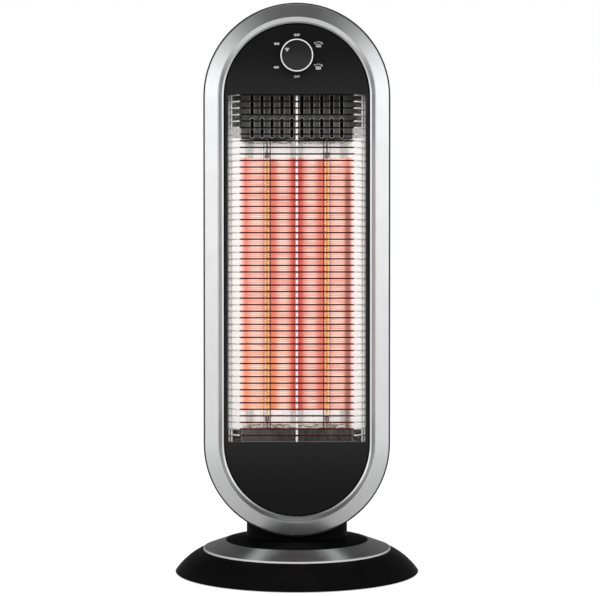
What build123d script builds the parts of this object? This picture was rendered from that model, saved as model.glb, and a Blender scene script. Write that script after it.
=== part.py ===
from build123d import *

import os
from math import acos, atan2, cos, degrees, hypot, pi, radians, sin, sqrt, tan

# A two-tube radiant tower heater that swings on a round base. Millimetres, +Z up. The front
# faces -Y, and the origin is on the floor in the middle of the base.

# Tower casing: its width and height follow from the window and what frames it
head_height = 92.3
tower_depth = 92.0
neck_height = 4.7
shell_wall = 2.0
rear_round = 24.0
rim_setback = 5.4
rim_wall = 1.0
rim_round = 0.6
moulding_fit = 0.1

# Silver bezel, in widths from the casing inwards and depths from its crown backwards
bezel_face = 14.2
face_slope = 4.8
bezel_bevel = 3.6
bevel_depth = 4.2
bezel_lip = 1.6
lip_slope = 0.6
bezel_wall = 2.4
bezel_depth = 24.0
crown_round = 0.8
edge_round = 1.8
boss_radius = 3.8

# Black front panel, its window and the collar behind the window
panel_side = 2.7
panel_inset = 7.5
panel_flange = 2.5
panel_raise = 2.3
panel_catch = 3.4
shadow_gap = 1.6
window_width = 140.0
window_height = 353.4
window_rise = 96.1
window_round = 2.0
collar_step = 1.6
collar_wall = 2.0
collar_depth = 14.0
reflector_post_radius = 2.8
reflector_post_gap = 0.2
reflector_post_spread = 145.0

# Wire guard
wire_radius = 0.8
upright_radius = 0.9
middle_upright_radius = 1.3
wire_pitch = 6.665
top_wire_drop = 0.3
wire_bend_run = 11.5
wire_bend_tuck = 3.6
wire_bend_radius = 4.0
side_upright_inset = 1.3
side_upright_spacing = 2.6
weld_gap = 0.02
rest_gap = 0.3

# Reflector trough
sheet = 0.8
wing_width = 14.0
wing_depth = 11.5
flute_depth = 22.5
ridge_width = 2.4
ridge_drop = 7.5
reflector_overrun = 9.0
flange_width = 5.0

# Screening plates at the ends of the trough
plate_sheet = 1.0
upper_plate_drop = 43.5
lower_plate_rise = 10.9
slot_width = 3.6
slot_columns = 10
slot_side_margin = 10.8
slot_low_margin = 1.4
slot_row_web = 3.7
slot_length = 20.0
slot_lip = 0.7
slot_lip_height = 0.5

# Tubes
tube_radius = 4.0
tube_wall = 0.7
tube_outset = 1.8
tube_overlap = 8.0
tube_y_from_wing = 9.5
cap_radius = 6.5
cap_collar = 1.6
cap_collar_height = 2.0
cap_base = 2.5
cap_head = 1.5
cap_fit = 0.05
lower_cap_drop = 1.5
upper_cap_rise = 4.0
bracket_sheet = 1.2
coil_radius = 1.95
coil_wire = 0.42
coil_turns = 48
lit_rise = 24.2
lit_drop = 62.5
socket_radius = 2.3
socket_length = 6.0
lead_radius = 0.9

# Rotary switch and knob
knob_rise = 37.7
knob_radius = 16.4
knob_length = 13.5
knob_gap = 0.5
knob_round = 0.8
knob_skirt = 10.0
knob_trim_width = 1.2
knob_rest_angle = 150.0
pointer_length = 4.2
pointer_width = 4.6
pointer_height = 0.4
pointer_pocket = 0.6
shaft_radius = 3.0
shaft_fit = 0.05
bushing_radius = 4.5
nut_width = 12.0
nut_height = 1.8
bushing_proud = 2.6
nut_recess_radius = 9.0
nut_recess_depth = 3.4
knob_web = 3.0
switch_size = 32.0
switch_depth = 20.0
switch_tabs = 6
tab_length = 7.0
tab_width = 5.0
tab_sheet = 0.8
tab_circle = 11.0

# Back of the casing
vent_length = 42.0
vent_width = 3.6
vent_pitch = 8.5
vent_rows = 9
vent_centre_x = 27.0
upper_vent_drop = 195.0
lower_vent_rise = 95.0
handle_drop = 67.0
handle_width = 100.0
handle_height = 34.0
handle_depth = 24.0
handle_wall = 2.0
handle_flange = 3.0
post_radius = 4.5
post_floor = 4.0
post_bore = 3.3
screw_radius = 1.5
screw_clearance = 0.2
screw_head_radius = 2.9
screw_head_height = 2.2
screw_bite = 12.0
side_post_spread = 172.0
end_post_angle = 45.0
block_length = 38.0
block_height = 18.0
block_depth = 14.0
block_rise = 45.0
cutout_radius = 5.0
cutout_height = 6.0
cutout_round = 0.8

# Turntable and neck
table_gap = 0.6
table_rim = 3.7
table_crown = 4.0
table_crown_radius = 52.0
table_edge_round = 1.2
neck_width = 104.0
neck_depth = 62.0
neck_round = 26.0
hub_radius = 21.0
spigot_radius = 14.5
lead_bore = 11.0
neck_screw_radius = 2.0
neck_screw_x = 30.0
neck_boss_gap = 1.4
neck_screw_bite = 9.0
neck_head_radius = 3.8
neck_head_height = 3.0
neck_boss_radius = 4.6
neck_boss_height = 12.0

# Base
base_diameter = 252.0
base_clearance = 0.8
rim_height = 0.5
rim_inset = 0.5
dome_width = 27.8
shoulder_drop = 4.2
dome_bulge = 2.4
base_wall = 2.5
plate_ledge = 5.0
trim_setback = 1.0
trim_width = 23.7
trim_proud = 1.2
trim_rise = 8.6
trim_sheet = 1.6
trim_inset = 1.8
trim_lip = 1.3
trim_skirt = 4.2
trim_round = 0.7
deck_sheet = 2.5
bush_wall = 3.0
bush_flange = 1.2
bush_flange_width = 5.0
bush_proud = 1.0
bearing_fit = 0.05
thrust_gap = 0.1
plate_thickness = 1.5
plate_fit = 0.2
foot_radius = 9.0
foot_inset = 20.0
foot_count = 6
foot_peg_radius = 3.0
foot_peg_rise = 1.5
base_screw_inset = 20.0
base_screw_count = 4
base_boss_radius = 4.5

# Swing drive
module = 1.0
gear_teeth = 90
pinion_teeth = 18
backlash = 0.25
pressure_angle = 20.0
gear_thickness = 5.0
gear_lift_gap = 0.2
gear_hub_radius = 24.0
gear_half_angle = 50.0
gear_screw_count = 3
swing_limit = 35.0
stop_radius = 3.0
stop_circle = 38.0
stop_margin = 1.0
motor_radius = 25.0
motor_height = 13.0
ear_margin = 4.0
ear_width = 11.0
ear_sheet = 1.0
motor_boss_radius = 6.0
motor_boss_height = 1.0
motor_gap = 0.6
motor_lift = 2.4
motor_post_radius = 3.5
motor_shaft_radius = 2.5
motor_shaft_depth = 9.0

# Tip-over switch
tip_gear_gap = 7.0
plunger_radius = 4.0
plunger_fit = 0.1
plunger_flange = 1.4
plunger_flange_height = 1.7
plunger_travel = 3.0
plunger_rod_radius = 1.3
housing_length = 24.0
housing_width = 18.0
housing_roof = 2.2
microswitch_length = 20.0
microswitch_width = 6.4
microswitch_height = 7.0
microswitch_gap = 2.0
spring_wire = 0.35
spring_radius = 3.2
spring_turns = 4

# Supply cord entry
gland_lift = 1.2
gland_radius = 5.0
gland_bore = 3.6
gland_collar = 2.0
gland_collar_length = 3.0
gland_setback = 3.0
gland_seat_inset = 25.5
gland_block_width = 22.0
gland_block_rise = 8.0
gland_block_depth = 13.5


# Places worked out from the sizes
plate_top = base_clearance + plate_thickness
motor_bottom = plate_top + motor_lift
motor_top = motor_bottom + motor_height
gear_bottom = motor_top + motor_boss_height + motor_gap
gear_top = gear_bottom + gear_thickness
bush_bottom = gear_top + gear_lift_gap
deck_under = bush_bottom + bush_proud
deck_top = deck_under + deck_sheet
table_under = deck_top + bush_flange + thrust_gap
table_top = table_under + table_rim
tower_lift = table_top + table_crown + neck_height

panel_radius = window_width / 2 + panel_side
lip_radius = panel_radius + shadow_gap
flange_radius = lip_radius + panel_catch
bevel_radius = lip_radius + bezel_lip
crown_radius = bevel_radius + bezel_bevel
bezel_radius = crown_radius + bezel_face
tower_radius = bezel_radius + moulding_fit + rim_wall
tower_height = window_rise + window_height + head_height
tower_top = tower_lift + tower_height
low_centre = tower_lift + tower_radius
high_centre = tower_top - tower_radius
tower_middle = (low_centre + high_centre) / 2
front_y = -tower_depth / 2
rear_y = tower_depth / 2

catch_y = front_y + panel_inset
panel_face_y = catch_y - panel_raise
panel_back_y = catch_y + panel_flange
collar_back_y = panel_back_y + collar_depth
skirt_y = front_y + bezel_depth
boss_circle = (flange_radius + moulding_fit + bezel_wall + bezel_radius - bezel_wall) / 2

window_low = tower_lift + window_rise
window_high = window_low + window_height
window_middle = (window_low + window_high) / 2
collar_half = window_width / 2 + collar_step
collar_low = window_low - collar_step
collar_high = window_high + collar_step

wire_y = panel_back_y + rest_gap + wire_radius
wire_bend_rise = collar_depth - wire_bend_tuck
wire_bend_angle = atan2(wire_bend_rise, wire_bend_run)
wire_reach = collar_half - rest_gap - wire_radius * sin(wire_bend_angle)
wire_bend_x = wire_reach - wire_bend_run
wire_count = int((window_height - top_wire_drop) / wire_pitch) + 1
upright_length = collar_high - collar_low - 2 * rest_gap

wing_front_x = collar_half - wire_radius / 2
wing_back_x = wing_front_x - wing_width
wing_back_y = collar_back_y + wing_depth
flute_middle_x = (wing_back_x + ridge_width / 2) / 2
flute_y = wing_back_y + flute_depth
ridge_y = wing_back_y + ridge_drop
reflector_low = window_low - reflector_overrun
reflector_high = window_high + reflector_overrun
reflector_screw_x = collar_half + collar_wall + reflector_post_radius + reflector_post_gap
reflector_screw_heights = [window_middle + step * reflector_post_spread for step in (-1, 0, 1)]

plate_back_y = wing_back_y - rest_gap
plate_front_y = plate_back_y - plate_sheet
tube_x = flute_middle_x + tube_outset
tube_y = wing_back_y + tube_y_from_wing
upper_plate_low = window_high - upper_plate_drop
lower_plate_high = window_low + lower_plate_rise
lower_cap_top = lower_plate_high - lower_cap_drop
upper_cap_low = upper_plate_low + upper_cap_rise
cap_height = tube_overlap + cap_base
tube_low = lower_cap_top - tube_overlap
tube_high = upper_cap_low + tube_overlap
lower_shelf_z = lower_cap_top - cap_height + cap_collar_height + cap_head
upper_shelf_z = upper_cap_low + cap_height - cap_collar_height - cap_head - bracket_sheet
lit_low = window_low + lit_rise
lit_high = window_high - lit_drop
lit_length = lit_high - lit_low

knob_z = window_high + knob_rise
knob_back_y = panel_face_y - knob_gap
knob_front_y = knob_back_y - knob_length
knob_step_y = knob_back_y - knob_skirt
switch_back_y = panel_back_y + switch_depth
bushing_front_y = panel_face_y - bushing_proud
recess_front_y = knob_back_y - nut_recess_depth
shaft_front_y = knob_front_y + knob_web

base_radius = base_diameter / 2
shoulder_radius = base_radius - dome_width
shoulder_height = deck_top - shoulder_drop
trim_outer = shoulder_radius - trim_setback
trim_inner = trim_outer - trim_width
trim_low = shoulder_height + trim_proud
trim_high = trim_low + trim_rise
table_radius = trim_inner - table_gap
plate_radius = base_radius - plate_ledge - plate_fit
foot_circle = base_radius - foot_inset
base_screw_circle = base_radius - base_screw_inset
neck_screw_y = -skirt_y - neck_boss_radius - neck_boss_gap
gear_screw_circle = (spigot_radius + hub_radius) / 2
gear_pitch_radius = module * gear_teeth / 2
pinion_pitch_radius = module * pinion_teeth / 2
drive_y = gear_pitch_radius + pinion_pitch_radius
ear_reach = motor_radius + ear_margin
tip_x = -(gear_pitch_radius + module + tip_gear_gap + microswitch_length / 2)
plunger_top = plate_top + plunger_travel + rest_gap + plunger_flange_height
housing_top = deck_under - microswitch_gap - microswitch_height
gland_height = plate_top + gland_lift + gland_radius + gland_collar
gland_seat = base_radius - gland_seat_inset
gland_reach = base_radius - gland_setback
spring_ceiling = housing_top - housing_roof

casing_screw_places = [
    *[
        (side * boss_circle, tower_middle + end * side_post_spread / 2)
        for side in (-1, 1)
        for end in (-1, 1)
    ],
    *[
        (
            side * boss_circle * cos(radians(end_post_angle)),
            centre + end * boss_circle * sin(radians(end_post_angle)),
        )
        for side in (-1, 1)
        for centre, end in ((low_centre, -1), (high_centre, 1))
    ],
]


def front_view(y):
    """The plane at depth y, seen from the front: X to the right, Z up, normal towards -Y."""
    return Plane.XZ.offset(-y)


def save(piece, name):
    piece.part.label = name
    export_step(piece.part, f"parts/{name}.step")


def stadium(radius):
    """The tower's outline at a radius from the line that joins its two end centres."""
    with Locations((0, tower_middle)):
        SlotCenterToCenter(high_centre - low_centre, 2 * radius, rotation=90)


def casing_form(radius, y_front, y_back, round_radius):
    """A solid of the tower's outline with its back edge rounded."""
    with BuildPart(mode=Mode.PRIVATE) as form:
        with BuildSketch(front_view(y_back)):
            stadium(radius)
        extrude(amount=y_back - y_front)
        fillet(form.faces().sort_by(Axis.Y)[-1].edges(), round_radius)
    return form.part


def ring_round_tower(section_at):
    """Carries a section, drawn with X outwards and Y back, once round the tower's outline."""
    extrude(section_at(low_centre), amount=high_centre - low_centre)
    mirror(about=Plane.YZ)
    revolve(section_at(low_centre), Axis((0, 0, low_centre), (0, 1, 0)), 180)
    revolve(section_at(high_centre), Axis((0, 0, high_centre), (0, -1, 0)), 180)


def wound_wire(place, turn_radius, wire, turns, height):
    """A coil of round wire climbing from place along +Z, on arcs of less than a quarter turn."""
    rise = height / (2 * pi * turns)

    def point(angle):
        return place + Vector(turn_radius * cos(angle), turn_radius * sin(angle), rise * angle)

    def heading(angle):
        return Vector(-turn_radius * sin(angle), turn_radius * cos(angle), rise).normalized()

    arcs = []
    for quarter in range(4 * turns):
        start, end = quarter * pi / 2, (quarter + 1) * pi / 2
        span = point(end) - point(start)
        lean = heading(start) + heading(end)
        square, cross = lean.dot(lean) - 4, -2 * span.dot(lean)
        root = sqrt(cross * cross - 4 * square * span.dot(span))
        reach = max(0.0, (-cross - root) / (2 * square))
        knee_in = point(start) + heading(start) * reach
        knee_out = point(end) - heading(end) * reach
        joint = (knee_in + knee_out) / 2
        arcs.append(Edge.make_tangent_arc(point(start), heading(start), joint))
        arcs.append(Edge.make_tangent_arc(joint, (knee_out - knee_in).normalized(), point(end)))
    route = Wire(arcs)
    with BuildPart(mode=Mode.PRIVATE) as coil:
        with BuildSketch(Plane(origin=route @ 0, z_dir=route % 0)):
            Circle(wire)
        sweep(path=route)
    return coil.part


def coil_gap(turn_radius, wire, turns, height):
    """The least clear distance from a turn's point to the turn above, measured on points."""
    rise = height / (2 * pi * turns)
    angles = [pi + 2 * pi * step / 200 for step in range(201)]
    distances = [
        hypot(turn_radius * (cos(angle) - 1), turn_radius * sin(angle), rise * angle)
        for angle in angles
    ]
    return round(min(distances) - 2 * wire, 2)


def gear_outline(teeth):
    """Corner points of one involute tooth that points along +X, root to tip to root."""
    pitch_radius = module * teeth / 2
    base = pitch_radius * cos(radians(pressure_angle))
    root = pitch_radius - 1.25 * module
    tip = pitch_radius + module
    involute = tan(radians(pressure_angle)) - radians(pressure_angle)
    points = []
    for step in range(6):
        radius = root + (tip - root) * step / 5
        pressure = acos(min(1.0, base / radius))
        half = pi / (2 * teeth) + involute - (tan(pressure) - pressure) - backlash / (4 * pitch_radius)
        points.append((radius * cos(half), radius * sin(half)))
    inner = root - module / 2
    foot = (inner * cos(half + 0.5 / teeth), inner * sin(pi / (2 * teeth)))
    flank = [foot, *points]
    return [*flank, *[(x, -y) for x, y in reversed(flank)]]


def base_form():
    """The base as a solid, out to its dome and up to the seat of the silver ring."""
    rim_x, rim_z = base_radius, base_clearance + rim_height
    middle = ((rim_x + shoulder_radius) / 2, (rim_z + shoulder_height) / 2)
    run = (shoulder_radius - rim_x, shoulder_height - rim_z)
    length = hypot(*run)
    crest = (middle[0] + dome_bulge * run[1] / length, middle[1] - dome_bulge * run[0] / length)
    with BuildPart(mode=Mode.PRIVATE) as form:
        with BuildSketch(Plane.XZ):
            with BuildLine():
                Polyline((0, base_clearance), (rim_x - rim_inset, base_clearance), (rim_x, rim_z))
                ThreePointArc((rim_x, rim_z), crest, (shoulder_radius, shoulder_height))
                Polyline(
                    (shoulder_radius, shoulder_height),
                    (trim_outer - trim_inset, trim_low - trim_sheet),
                    (trim_inner + trim_sheet, trim_high - trim_sheet),
                    (0, trim_high - trim_sheet),
                    (0, base_clearance),
                )
            make_face()
        revolve(axis=Axis.Z)
    return form.part


os.makedirs("parts", exist_ok=True)

outer_form = casing_form(tower_radius, front_y + rim_setback, rear_y, rear_round)
inner_form = casing_form(
    tower_radius - shell_wall,
    front_y + rim_setback,
    rear_y - shell_wall,
    rear_round - shell_wall,
)
solid_base = base_form()


# Silver bezel with the bosses that the casing screws bite in

def bezel_section(height):
    under_y = front_y + bezel_wall
    with BuildSketch(Plane.XY.offset(height), mode=Mode.PRIVATE) as section:
        with BuildLine():
            Polyline(
                (bezel_radius, skirt_y),
                (bezel_radius, front_y + face_slope),
                (crown_radius, front_y),
                (bevel_radius, front_y + bevel_depth),
                (lip_radius, front_y + bevel_depth + lip_slope),
                (lip_radius, catch_y),
                (flange_radius + moulding_fit, catch_y),
                (flange_radius + moulding_fit, panel_back_y),
                (flange_radius + moulding_fit + bezel_wall, panel_back_y),
                (flange_radius + moulding_fit + bezel_wall, under_y + moulding_fit),
                (bezel_radius - bezel_wall, under_y + face_slope),
                (bezel_radius - bezel_wall, skirt_y),
                close=True,
            )
        make_face()
        fillet(section.vertices().sort_by_distance((crown_radius, front_y))[0], crown_round)
        outer_corner = (bezel_radius, front_y + face_slope)
        fillet(section.vertices().sort_by_distance(outer_corner)[0], edge_round)
    return section.sketch


with BuildPart() as front_bezel:
    ring_round_tower(bezel_section)
    with BuildSketch(front_view(skirt_y)):
        with Locations(casing_screw_places):
            Circle(boss_radius)
    extrude(amount=skirt_y - front_y - face_slope)
    with BuildSketch(front_view(skirt_y)):
        with Locations(casing_screw_places):
            Circle(screw_radius)
    extrude(amount=screw_bite, mode=Mode.SUBTRACT)
save(front_bezel, "front_bezel")


# Black front panel: a raised face, a flange behind the bezel's lip and a collar round the window

reflector_screw_places = [
    (side * reflector_screw_x, height) for side in (-1, 1) for height in reflector_screw_heights
]

with BuildPart() as front_panel:
    with BuildSketch(front_view(panel_back_y)):
        stadium(flange_radius)
    extrude(amount=panel_flange)
    with BuildSketch(front_view(catch_y)):
        stadium(panel_radius)
    extrude(amount=panel_raise)
    with BuildSketch(front_view(collar_back_y)):
        with Locations((0, window_middle)):
            Rectangle(2 * (collar_half + collar_wall), collar_high - collar_low + 2 * collar_wall)
        with Locations(reflector_screw_places):
            Circle(reflector_post_radius)
    extrude(amount=collar_depth)
    with BuildSketch(front_view(collar_back_y)):
        with Locations((0, window_middle)):
            Rectangle(2 * collar_half, collar_high - collar_low)
    extrude(amount=collar_depth, mode=Mode.SUBTRACT)
    with BuildSketch(front_view(panel_back_y)):
        with Locations((0, window_middle)):
            RectangleRounded(window_width, window_height, window_round)
        with Locations((0, knob_z)):
            Circle(bushing_radius)
    extrude(amount=panel_flange + panel_raise, mode=Mode.SUBTRACT)
    with BuildSketch(front_view(collar_back_y)):
        with Locations(reflector_screw_places):
            Circle(screw_radius)
    extrude(amount=collar_depth - panel_raise, mode=Mode.SUBTRACT)
save(front_panel, "front_panel")


# Casing behind the bezel, with screw posts, vents, the handle opening and the neck's bosses

vent_places = [
    (side * vent_centre_x, vent_middle + (row - (vent_rows - 1) / 2) * vent_pitch)
    for side in (-1, 1)
    for vent_middle in (tower_lift + lower_vent_rise, tower_top - upper_vent_drop)
    for row in range(vent_rows)
]
handle_z = tower_top - handle_drop
neck_screw_places = [(x, y) for x in (-neck_screw_x, neck_screw_x) for y in (-neck_screw_y, neck_screw_y)]
boss_top = tower_lift + shell_wall + neck_boss_height

with BuildPart() as inner_posts:
    with BuildSketch(front_view(rear_y)):
        with Locations(casing_screw_places):
            Circle(post_radius)
    extrude(amount=rear_y - skirt_y)
    with BuildSketch(Plane.XY.offset(tower_lift)):
        with Locations(neck_screw_places):
            Circle(neck_boss_radius)
        Circle(lead_bore + shell_wall)
    extrude(amount=boss_top - tower_lift)
    add(outer_form, mode=Mode.INTERSECT)

with BuildPart() as rear_shell:
    add(outer_form)
    fillet(rear_shell.faces().sort_by(Axis.Y)[0].edges(), rim_round)
    add(inner_form, mode=Mode.SUBTRACT)
    with BuildSketch(front_view(skirt_y + rest_gap)):
        stadium(bezel_radius + moulding_fit)
    extrude(amount=skirt_y + rest_gap - front_y, mode=Mode.SUBTRACT)
    add(inner_posts.part)
    with BuildSketch(front_view(rear_y)):
        with Locations(casing_screw_places):
            Circle(post_bore)
    extrude(amount=rear_y - skirt_y - post_floor, mode=Mode.SUBTRACT)
    with BuildSketch(front_view(rear_y)):
        with Locations(casing_screw_places):
            Circle(screw_radius + screw_clearance)
    extrude(amount=rear_y - skirt_y, mode=Mode.SUBTRACT)
    with BuildSketch(front_view(rear_y)):
        with Locations(vent_places):
            SlotOverall(vent_length, vent_width)
        with Locations((0, handle_z)):
            SlotOverall(handle_width, handle_height)
    extrude(amount=shell_wall, mode=Mode.SUBTRACT)
    with BuildSketch(Plane.XY.offset(tower_lift)):
        with Locations(neck_screw_places):
            Circle(neck_screw_radius)
        Circle(lead_bore)
    extrude(amount=boss_top - tower_lift, mode=Mode.SUBTRACT)
save(rear_shell, "rear_shell")


# Carrying recess in the back of the casing

with BuildPart() as handle_cup:
    with BuildSketch(front_view(rear_y)):
        with Locations((0, handle_z)):
            SlotOverall(handle_width, handle_height)
    extrude(amount=handle_depth)
    with BuildSketch(front_view(rear_y + handle_wall)):
        with Locations((0, handle_z)):
            SlotOverall(handle_width + 2 * handle_flange, handle_height + 2 * handle_flange)
    extrude(amount=handle_wall)
    fillet(handle_cup.faces().sort_by(Axis.Y)[-1].edges(), handle_wall / 2)
    with BuildSketch(front_view(rear_y + handle_wall)):
        with Locations((0, handle_z)):
            SlotOverall(handle_width - 2 * handle_wall, handle_height - 2 * handle_wall)
    extrude(amount=handle_depth, mode=Mode.SUBTRACT)
save(handle_cup, "handle_cup")


# Long screws, sunk in the casing's posts

with BuildPart() as shell_screws:
    with BuildSketch(front_view(skirt_y + post_floor + screw_head_height)):
        with Locations(casing_screw_places):
            Circle(screw_head_radius)
    extrude(amount=screw_head_height)
    with BuildSketch(front_view(skirt_y + post_floor)):
        with Locations(casing_screw_places):
            Circle(screw_radius)
    extrude(amount=post_floor + screw_bite - rest_gap)
save(shell_screws, "shell_screws")


# Wire guard: bent cross wires, and uprights welded behind them

cross_heights = [window_high - top_wire_drop - row * wire_pitch for row in range(wire_count)]
lowest = min(cross_heights)

with BuildPart() as one_cross_wire:
    with BuildLine(Plane.XY.offset(lowest)) as wire_route:
        FilletPolyline(
            (-wire_reach, wire_y + wire_bend_rise),
            (-wire_bend_x, wire_y),
            (wire_bend_x, wire_y),
            (wire_reach, wire_y + wire_bend_rise),
            radius=wire_bend_radius,
        )
    with BuildSketch(Plane(origin=wire_route.line @ 0, z_dir=wire_route.line % 0)):
        Circle(wire_radius)
    sweep(path=wire_route.line)

with BuildPart() as grille_cross_wires:
    with Locations([(0, 0, height - lowest) for height in cross_heights]):
        add(one_cross_wire.part)
save(grille_cross_wires, "grille_cross_wires")


def upright_place(x, radius):
    """Where an upright of a radius lies at x, so that it just meets the back of the cross wires."""
    reach = wire_radius + radius + weld_gap
    if abs(x) < wire_bend_x:
        return x, wire_y + reach
    slope = wire_bend_rise / wire_bend_run
    return x, wire_y + (abs(x) - wire_bend_x) * slope + reach / cos(wire_bend_angle)


outer_upright_x = wire_reach - side_upright_inset
inner_upright_x = outer_upright_x - side_upright_spacing
side_uprights = [side * x for side in (-1, 1) for x in (inner_upright_x, outer_upright_x)]

with BuildPart() as grille_uprights:
    with BuildSketch(Plane.XY.offset(collar_low + rest_gap)):
        for x in side_uprights:
            with Locations(upright_place(x, upright_radius)):
                Circle(upright_radius)
        with Locations(upright_place(0, middle_upright_radius)):
            Circle(middle_upright_radius)
    extrude(amount=upright_length)
save(grille_uprights, "grille_uprights")


# Polished reflector: a flange, a slanted wing and a flute on each side of a low ridge

def trough_line(side):
    """The reflector's front surface from its flange to the middle, on one side."""
    Polyline(
        (side * (reflector_screw_x + flange_width / 2), collar_back_y),
        (side * wing_front_x, collar_back_y),
        (side * wing_back_x, wing_back_y),
    )
    ThreePointArc(
        (side * wing_back_x, wing_back_y),
        (side * flute_middle_x, flute_y),
        (side * ridge_width / 2, ridge_y),
    )


with BuildPart() as reflector:
    with BuildSketch(Plane.XY.offset(reflector_low)):
        with BuildLine() as trough:
            trough_line(-1)
            Line((-ridge_width / 2, ridge_y), (ridge_width / 2, ridge_y))
            trough_line(1)
            offset(amount=sheet, side=Side.LEFT)
        make_face()
    extrude(amount=reflector_high - reflector_low)
    with BuildSketch(front_view(collar_back_y + sheet)):
        with Locations(reflector_screw_places):
            Circle(screw_radius)
    extrude(amount=sheet, mode=Mode.SUBTRACT)
save(reflector, "reflector")

with BuildPart() as reflector_screws:
    with BuildSketch(front_view(collar_back_y + sheet + screw_head_height)):
        with Locations(reflector_screw_places):
            Circle(screw_head_radius)
    extrude(amount=screw_head_height)
    with BuildSketch(front_view(collar_back_y + sheet)):
        with Locations(reflector_screw_places):
            Circle(screw_radius)
    extrude(amount=sheet + collar_depth / 2)
save(reflector_screws, "reflector_screws")


# Plates that screen the tubes' ends, each with a shelf that reaches forward to the collar

def screen_plate(low, high, shelf_low):
    """A plate across the trough from low to high, with a shelf between the wings."""
    half = wing_back_x - rest_gap
    run = (plate_front_y - collar_back_y) * wing_width / wing_depth
    with BuildPart(mode=Mode.PRIVATE) as plate:
        with BuildSketch(front_view(plate_back_y)):
            with Locations((0, (low + high) / 2)):
                Rectangle(2 * half, high - low)
        extrude(amount=plate_sheet)
        with BuildSketch(Plane.XY.offset(shelf_low)):
            Polygon(
                (-half, plate_front_y),
                (half, plate_front_y),
                (half + run, collar_back_y),
                (-half - run, collar_back_y),
                align=None,
            )
        extrude(amount=plate_sheet)
    return plate.part


slot_pitch = 2 * (wing_back_x - rest_gap - slot_side_margin) / (slot_columns - 1)
lower_slot_low = upper_plate_low + slot_low_margin
upper_slot_low = lower_slot_low + slot_length + slot_row_web

with BuildPart() as upper_slotted_plate:
    add(screen_plate(upper_plate_low, collar_high + plate_sheet, collar_high))
    for slot_low in (lower_slot_low, upper_slot_low):
        slot_middle = (0, slot_low + slot_length / 2)
        with BuildSketch(front_view(plate_back_y)):
            with Locations(slot_middle):
                with GridLocations(slot_pitch, slot_length, slot_columns, 1):
                    SlotOverall(slot_length + 2 * slot_lip, slot_width + 2 * slot_lip, rotation=90)
        extrude(amount=plate_sheet + slot_lip_height)
        with BuildSketch(front_view(plate_back_y)):
            with Locations(slot_middle):
                with GridLocations(slot_pitch, slot_length, slot_columns, 1):
                    SlotOverall(slot_length, slot_width, rotation=90)
        extrude(amount=plate_sheet + slot_lip_height, mode=Mode.SUBTRACT)
save(upper_slotted_plate, "upper_slotted_plate")

with BuildPart() as lower_plate:
    add(screen_plate(collar_low - plate_sheet, lower_plate_high, collar_low - plate_sheet))
save(lower_plate, "lower_plate")


# Shelves that carry the tubes' ceramic ends, cut to the trough's shape

tube_places = [(-tube_x, tube_y), (tube_x, tube_y)]


def tube_shelf(height):
    with BuildPart(mode=Mode.PRIVATE) as shelf:
        with BuildSketch(Plane.XY.offset(height)):
            with BuildLine():
                Line((-wing_back_x, plate_back_y), (wing_back_x, plate_back_y))
                for side in (-1, 1):
                    Line((side * wing_back_x, plate_back_y), (side * wing_back_x, wing_back_y))
                    ThreePointArc(
                        (side * wing_back_x, wing_back_y),
                        (side * flute_middle_x, flute_y),
                        (side * ridge_width / 2, ridge_y),
                    )
                Line((-ridge_width / 2, ridge_y), (ridge_width / 2, ridge_y))
            make_face()
            offset(amount=-rest_gap, mode=Mode.REPLACE)
            with Locations(tube_places):
                Circle(cap_radius + moulding_fit, mode=Mode.SUBTRACT)
        extrude(amount=bracket_sheet)
    return shelf.part


with BuildPart() as lower_tube_bracket:
    add(tube_shelf(lower_shelf_z))
save(lower_tube_bracket, "lower_tube_bracket")

with BuildPart() as upper_tube_bracket:
    add(tube_shelf(upper_shelf_z))
save(upper_tube_bracket, "upper_tube_bracket")


def ceramic_caps(low, bore_low, cap_collar_low):
    """Two caps from low up, each with a blind bore for its tube and a collar by the shelf."""
    with BuildPart(mode=Mode.PRIVATE) as caps:
        with BuildSketch(Plane.XY.offset(low)):
            with Locations(tube_places):
                Circle(cap_radius)
        extrude(amount=cap_height)
        with BuildSketch(Plane.XY.offset(cap_collar_low)):
            with Locations(tube_places):
                Circle(cap_radius + cap_collar)
        extrude(amount=cap_collar_height)
        with BuildSketch(Plane.XY.offset(bore_low)):
            with Locations(tube_places):
                Circle(tube_radius + cap_fit)
        extrude(amount=tube_overlap, mode=Mode.SUBTRACT)
    return caps.part


with BuildPart() as lower_end_caps:
    add(ceramic_caps(lower_cap_top - cap_height, tube_low, lower_shelf_z + bracket_sheet))
save(lower_end_caps, "lower_end_caps")

with BuildPart() as upper_end_caps:
    add(ceramic_caps(upper_cap_low, upper_cap_low, upper_shelf_z - cap_collar_height))
save(upper_end_caps, "upper_end_caps")


# Quartz tubes, each with a wound carbon filament between two sockets

for side, place in (("left", (-tube_x, tube_y)), ("right", (tube_x, tube_y))):
    with BuildPart() as quartz_tube:
        with BuildSketch(Plane.XY.offset(tube_low)):
            with Locations(place):
                Circle(tube_radius)
                Circle(tube_radius - tube_wall, mode=Mode.SUBTRACT)
        extrude(amount=tube_high - tube_low)
    save(quartz_tube, f"quartz_tube_{side}")

    coil_place = Vector(*place, lit_low + coil_wire + rest_gap)
    coil_height = lit_length - 2 * (coil_wire + rest_gap)
    with BuildPart() as carbon_filament:
        add(wound_wire(coil_place, coil_radius, coil_wire, coil_turns, coil_height))
    save(carbon_filament, f"carbon_filament_{side}")

print("filament: gap between turns", coil_gap(coil_radius, coil_wire, coil_turns, lit_length))

with BuildPart() as filament_leads:
    for low, high, socket_low in (
        (tube_low, lit_low, lit_low - socket_length),
        (lit_high, tube_high, lit_high),
    ):
        with BuildSketch(Plane.XY.offset(low)):
            with Locations(tube_places):
                Circle(lead_radius)
        extrude(amount=high - low)
        with BuildSketch(Plane.XY.offset(socket_low)):
            with Locations(tube_places):
                Circle(socket_radius)
        extrude(amount=socket_length)
save(filament_leads, "filament_leads")

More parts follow.
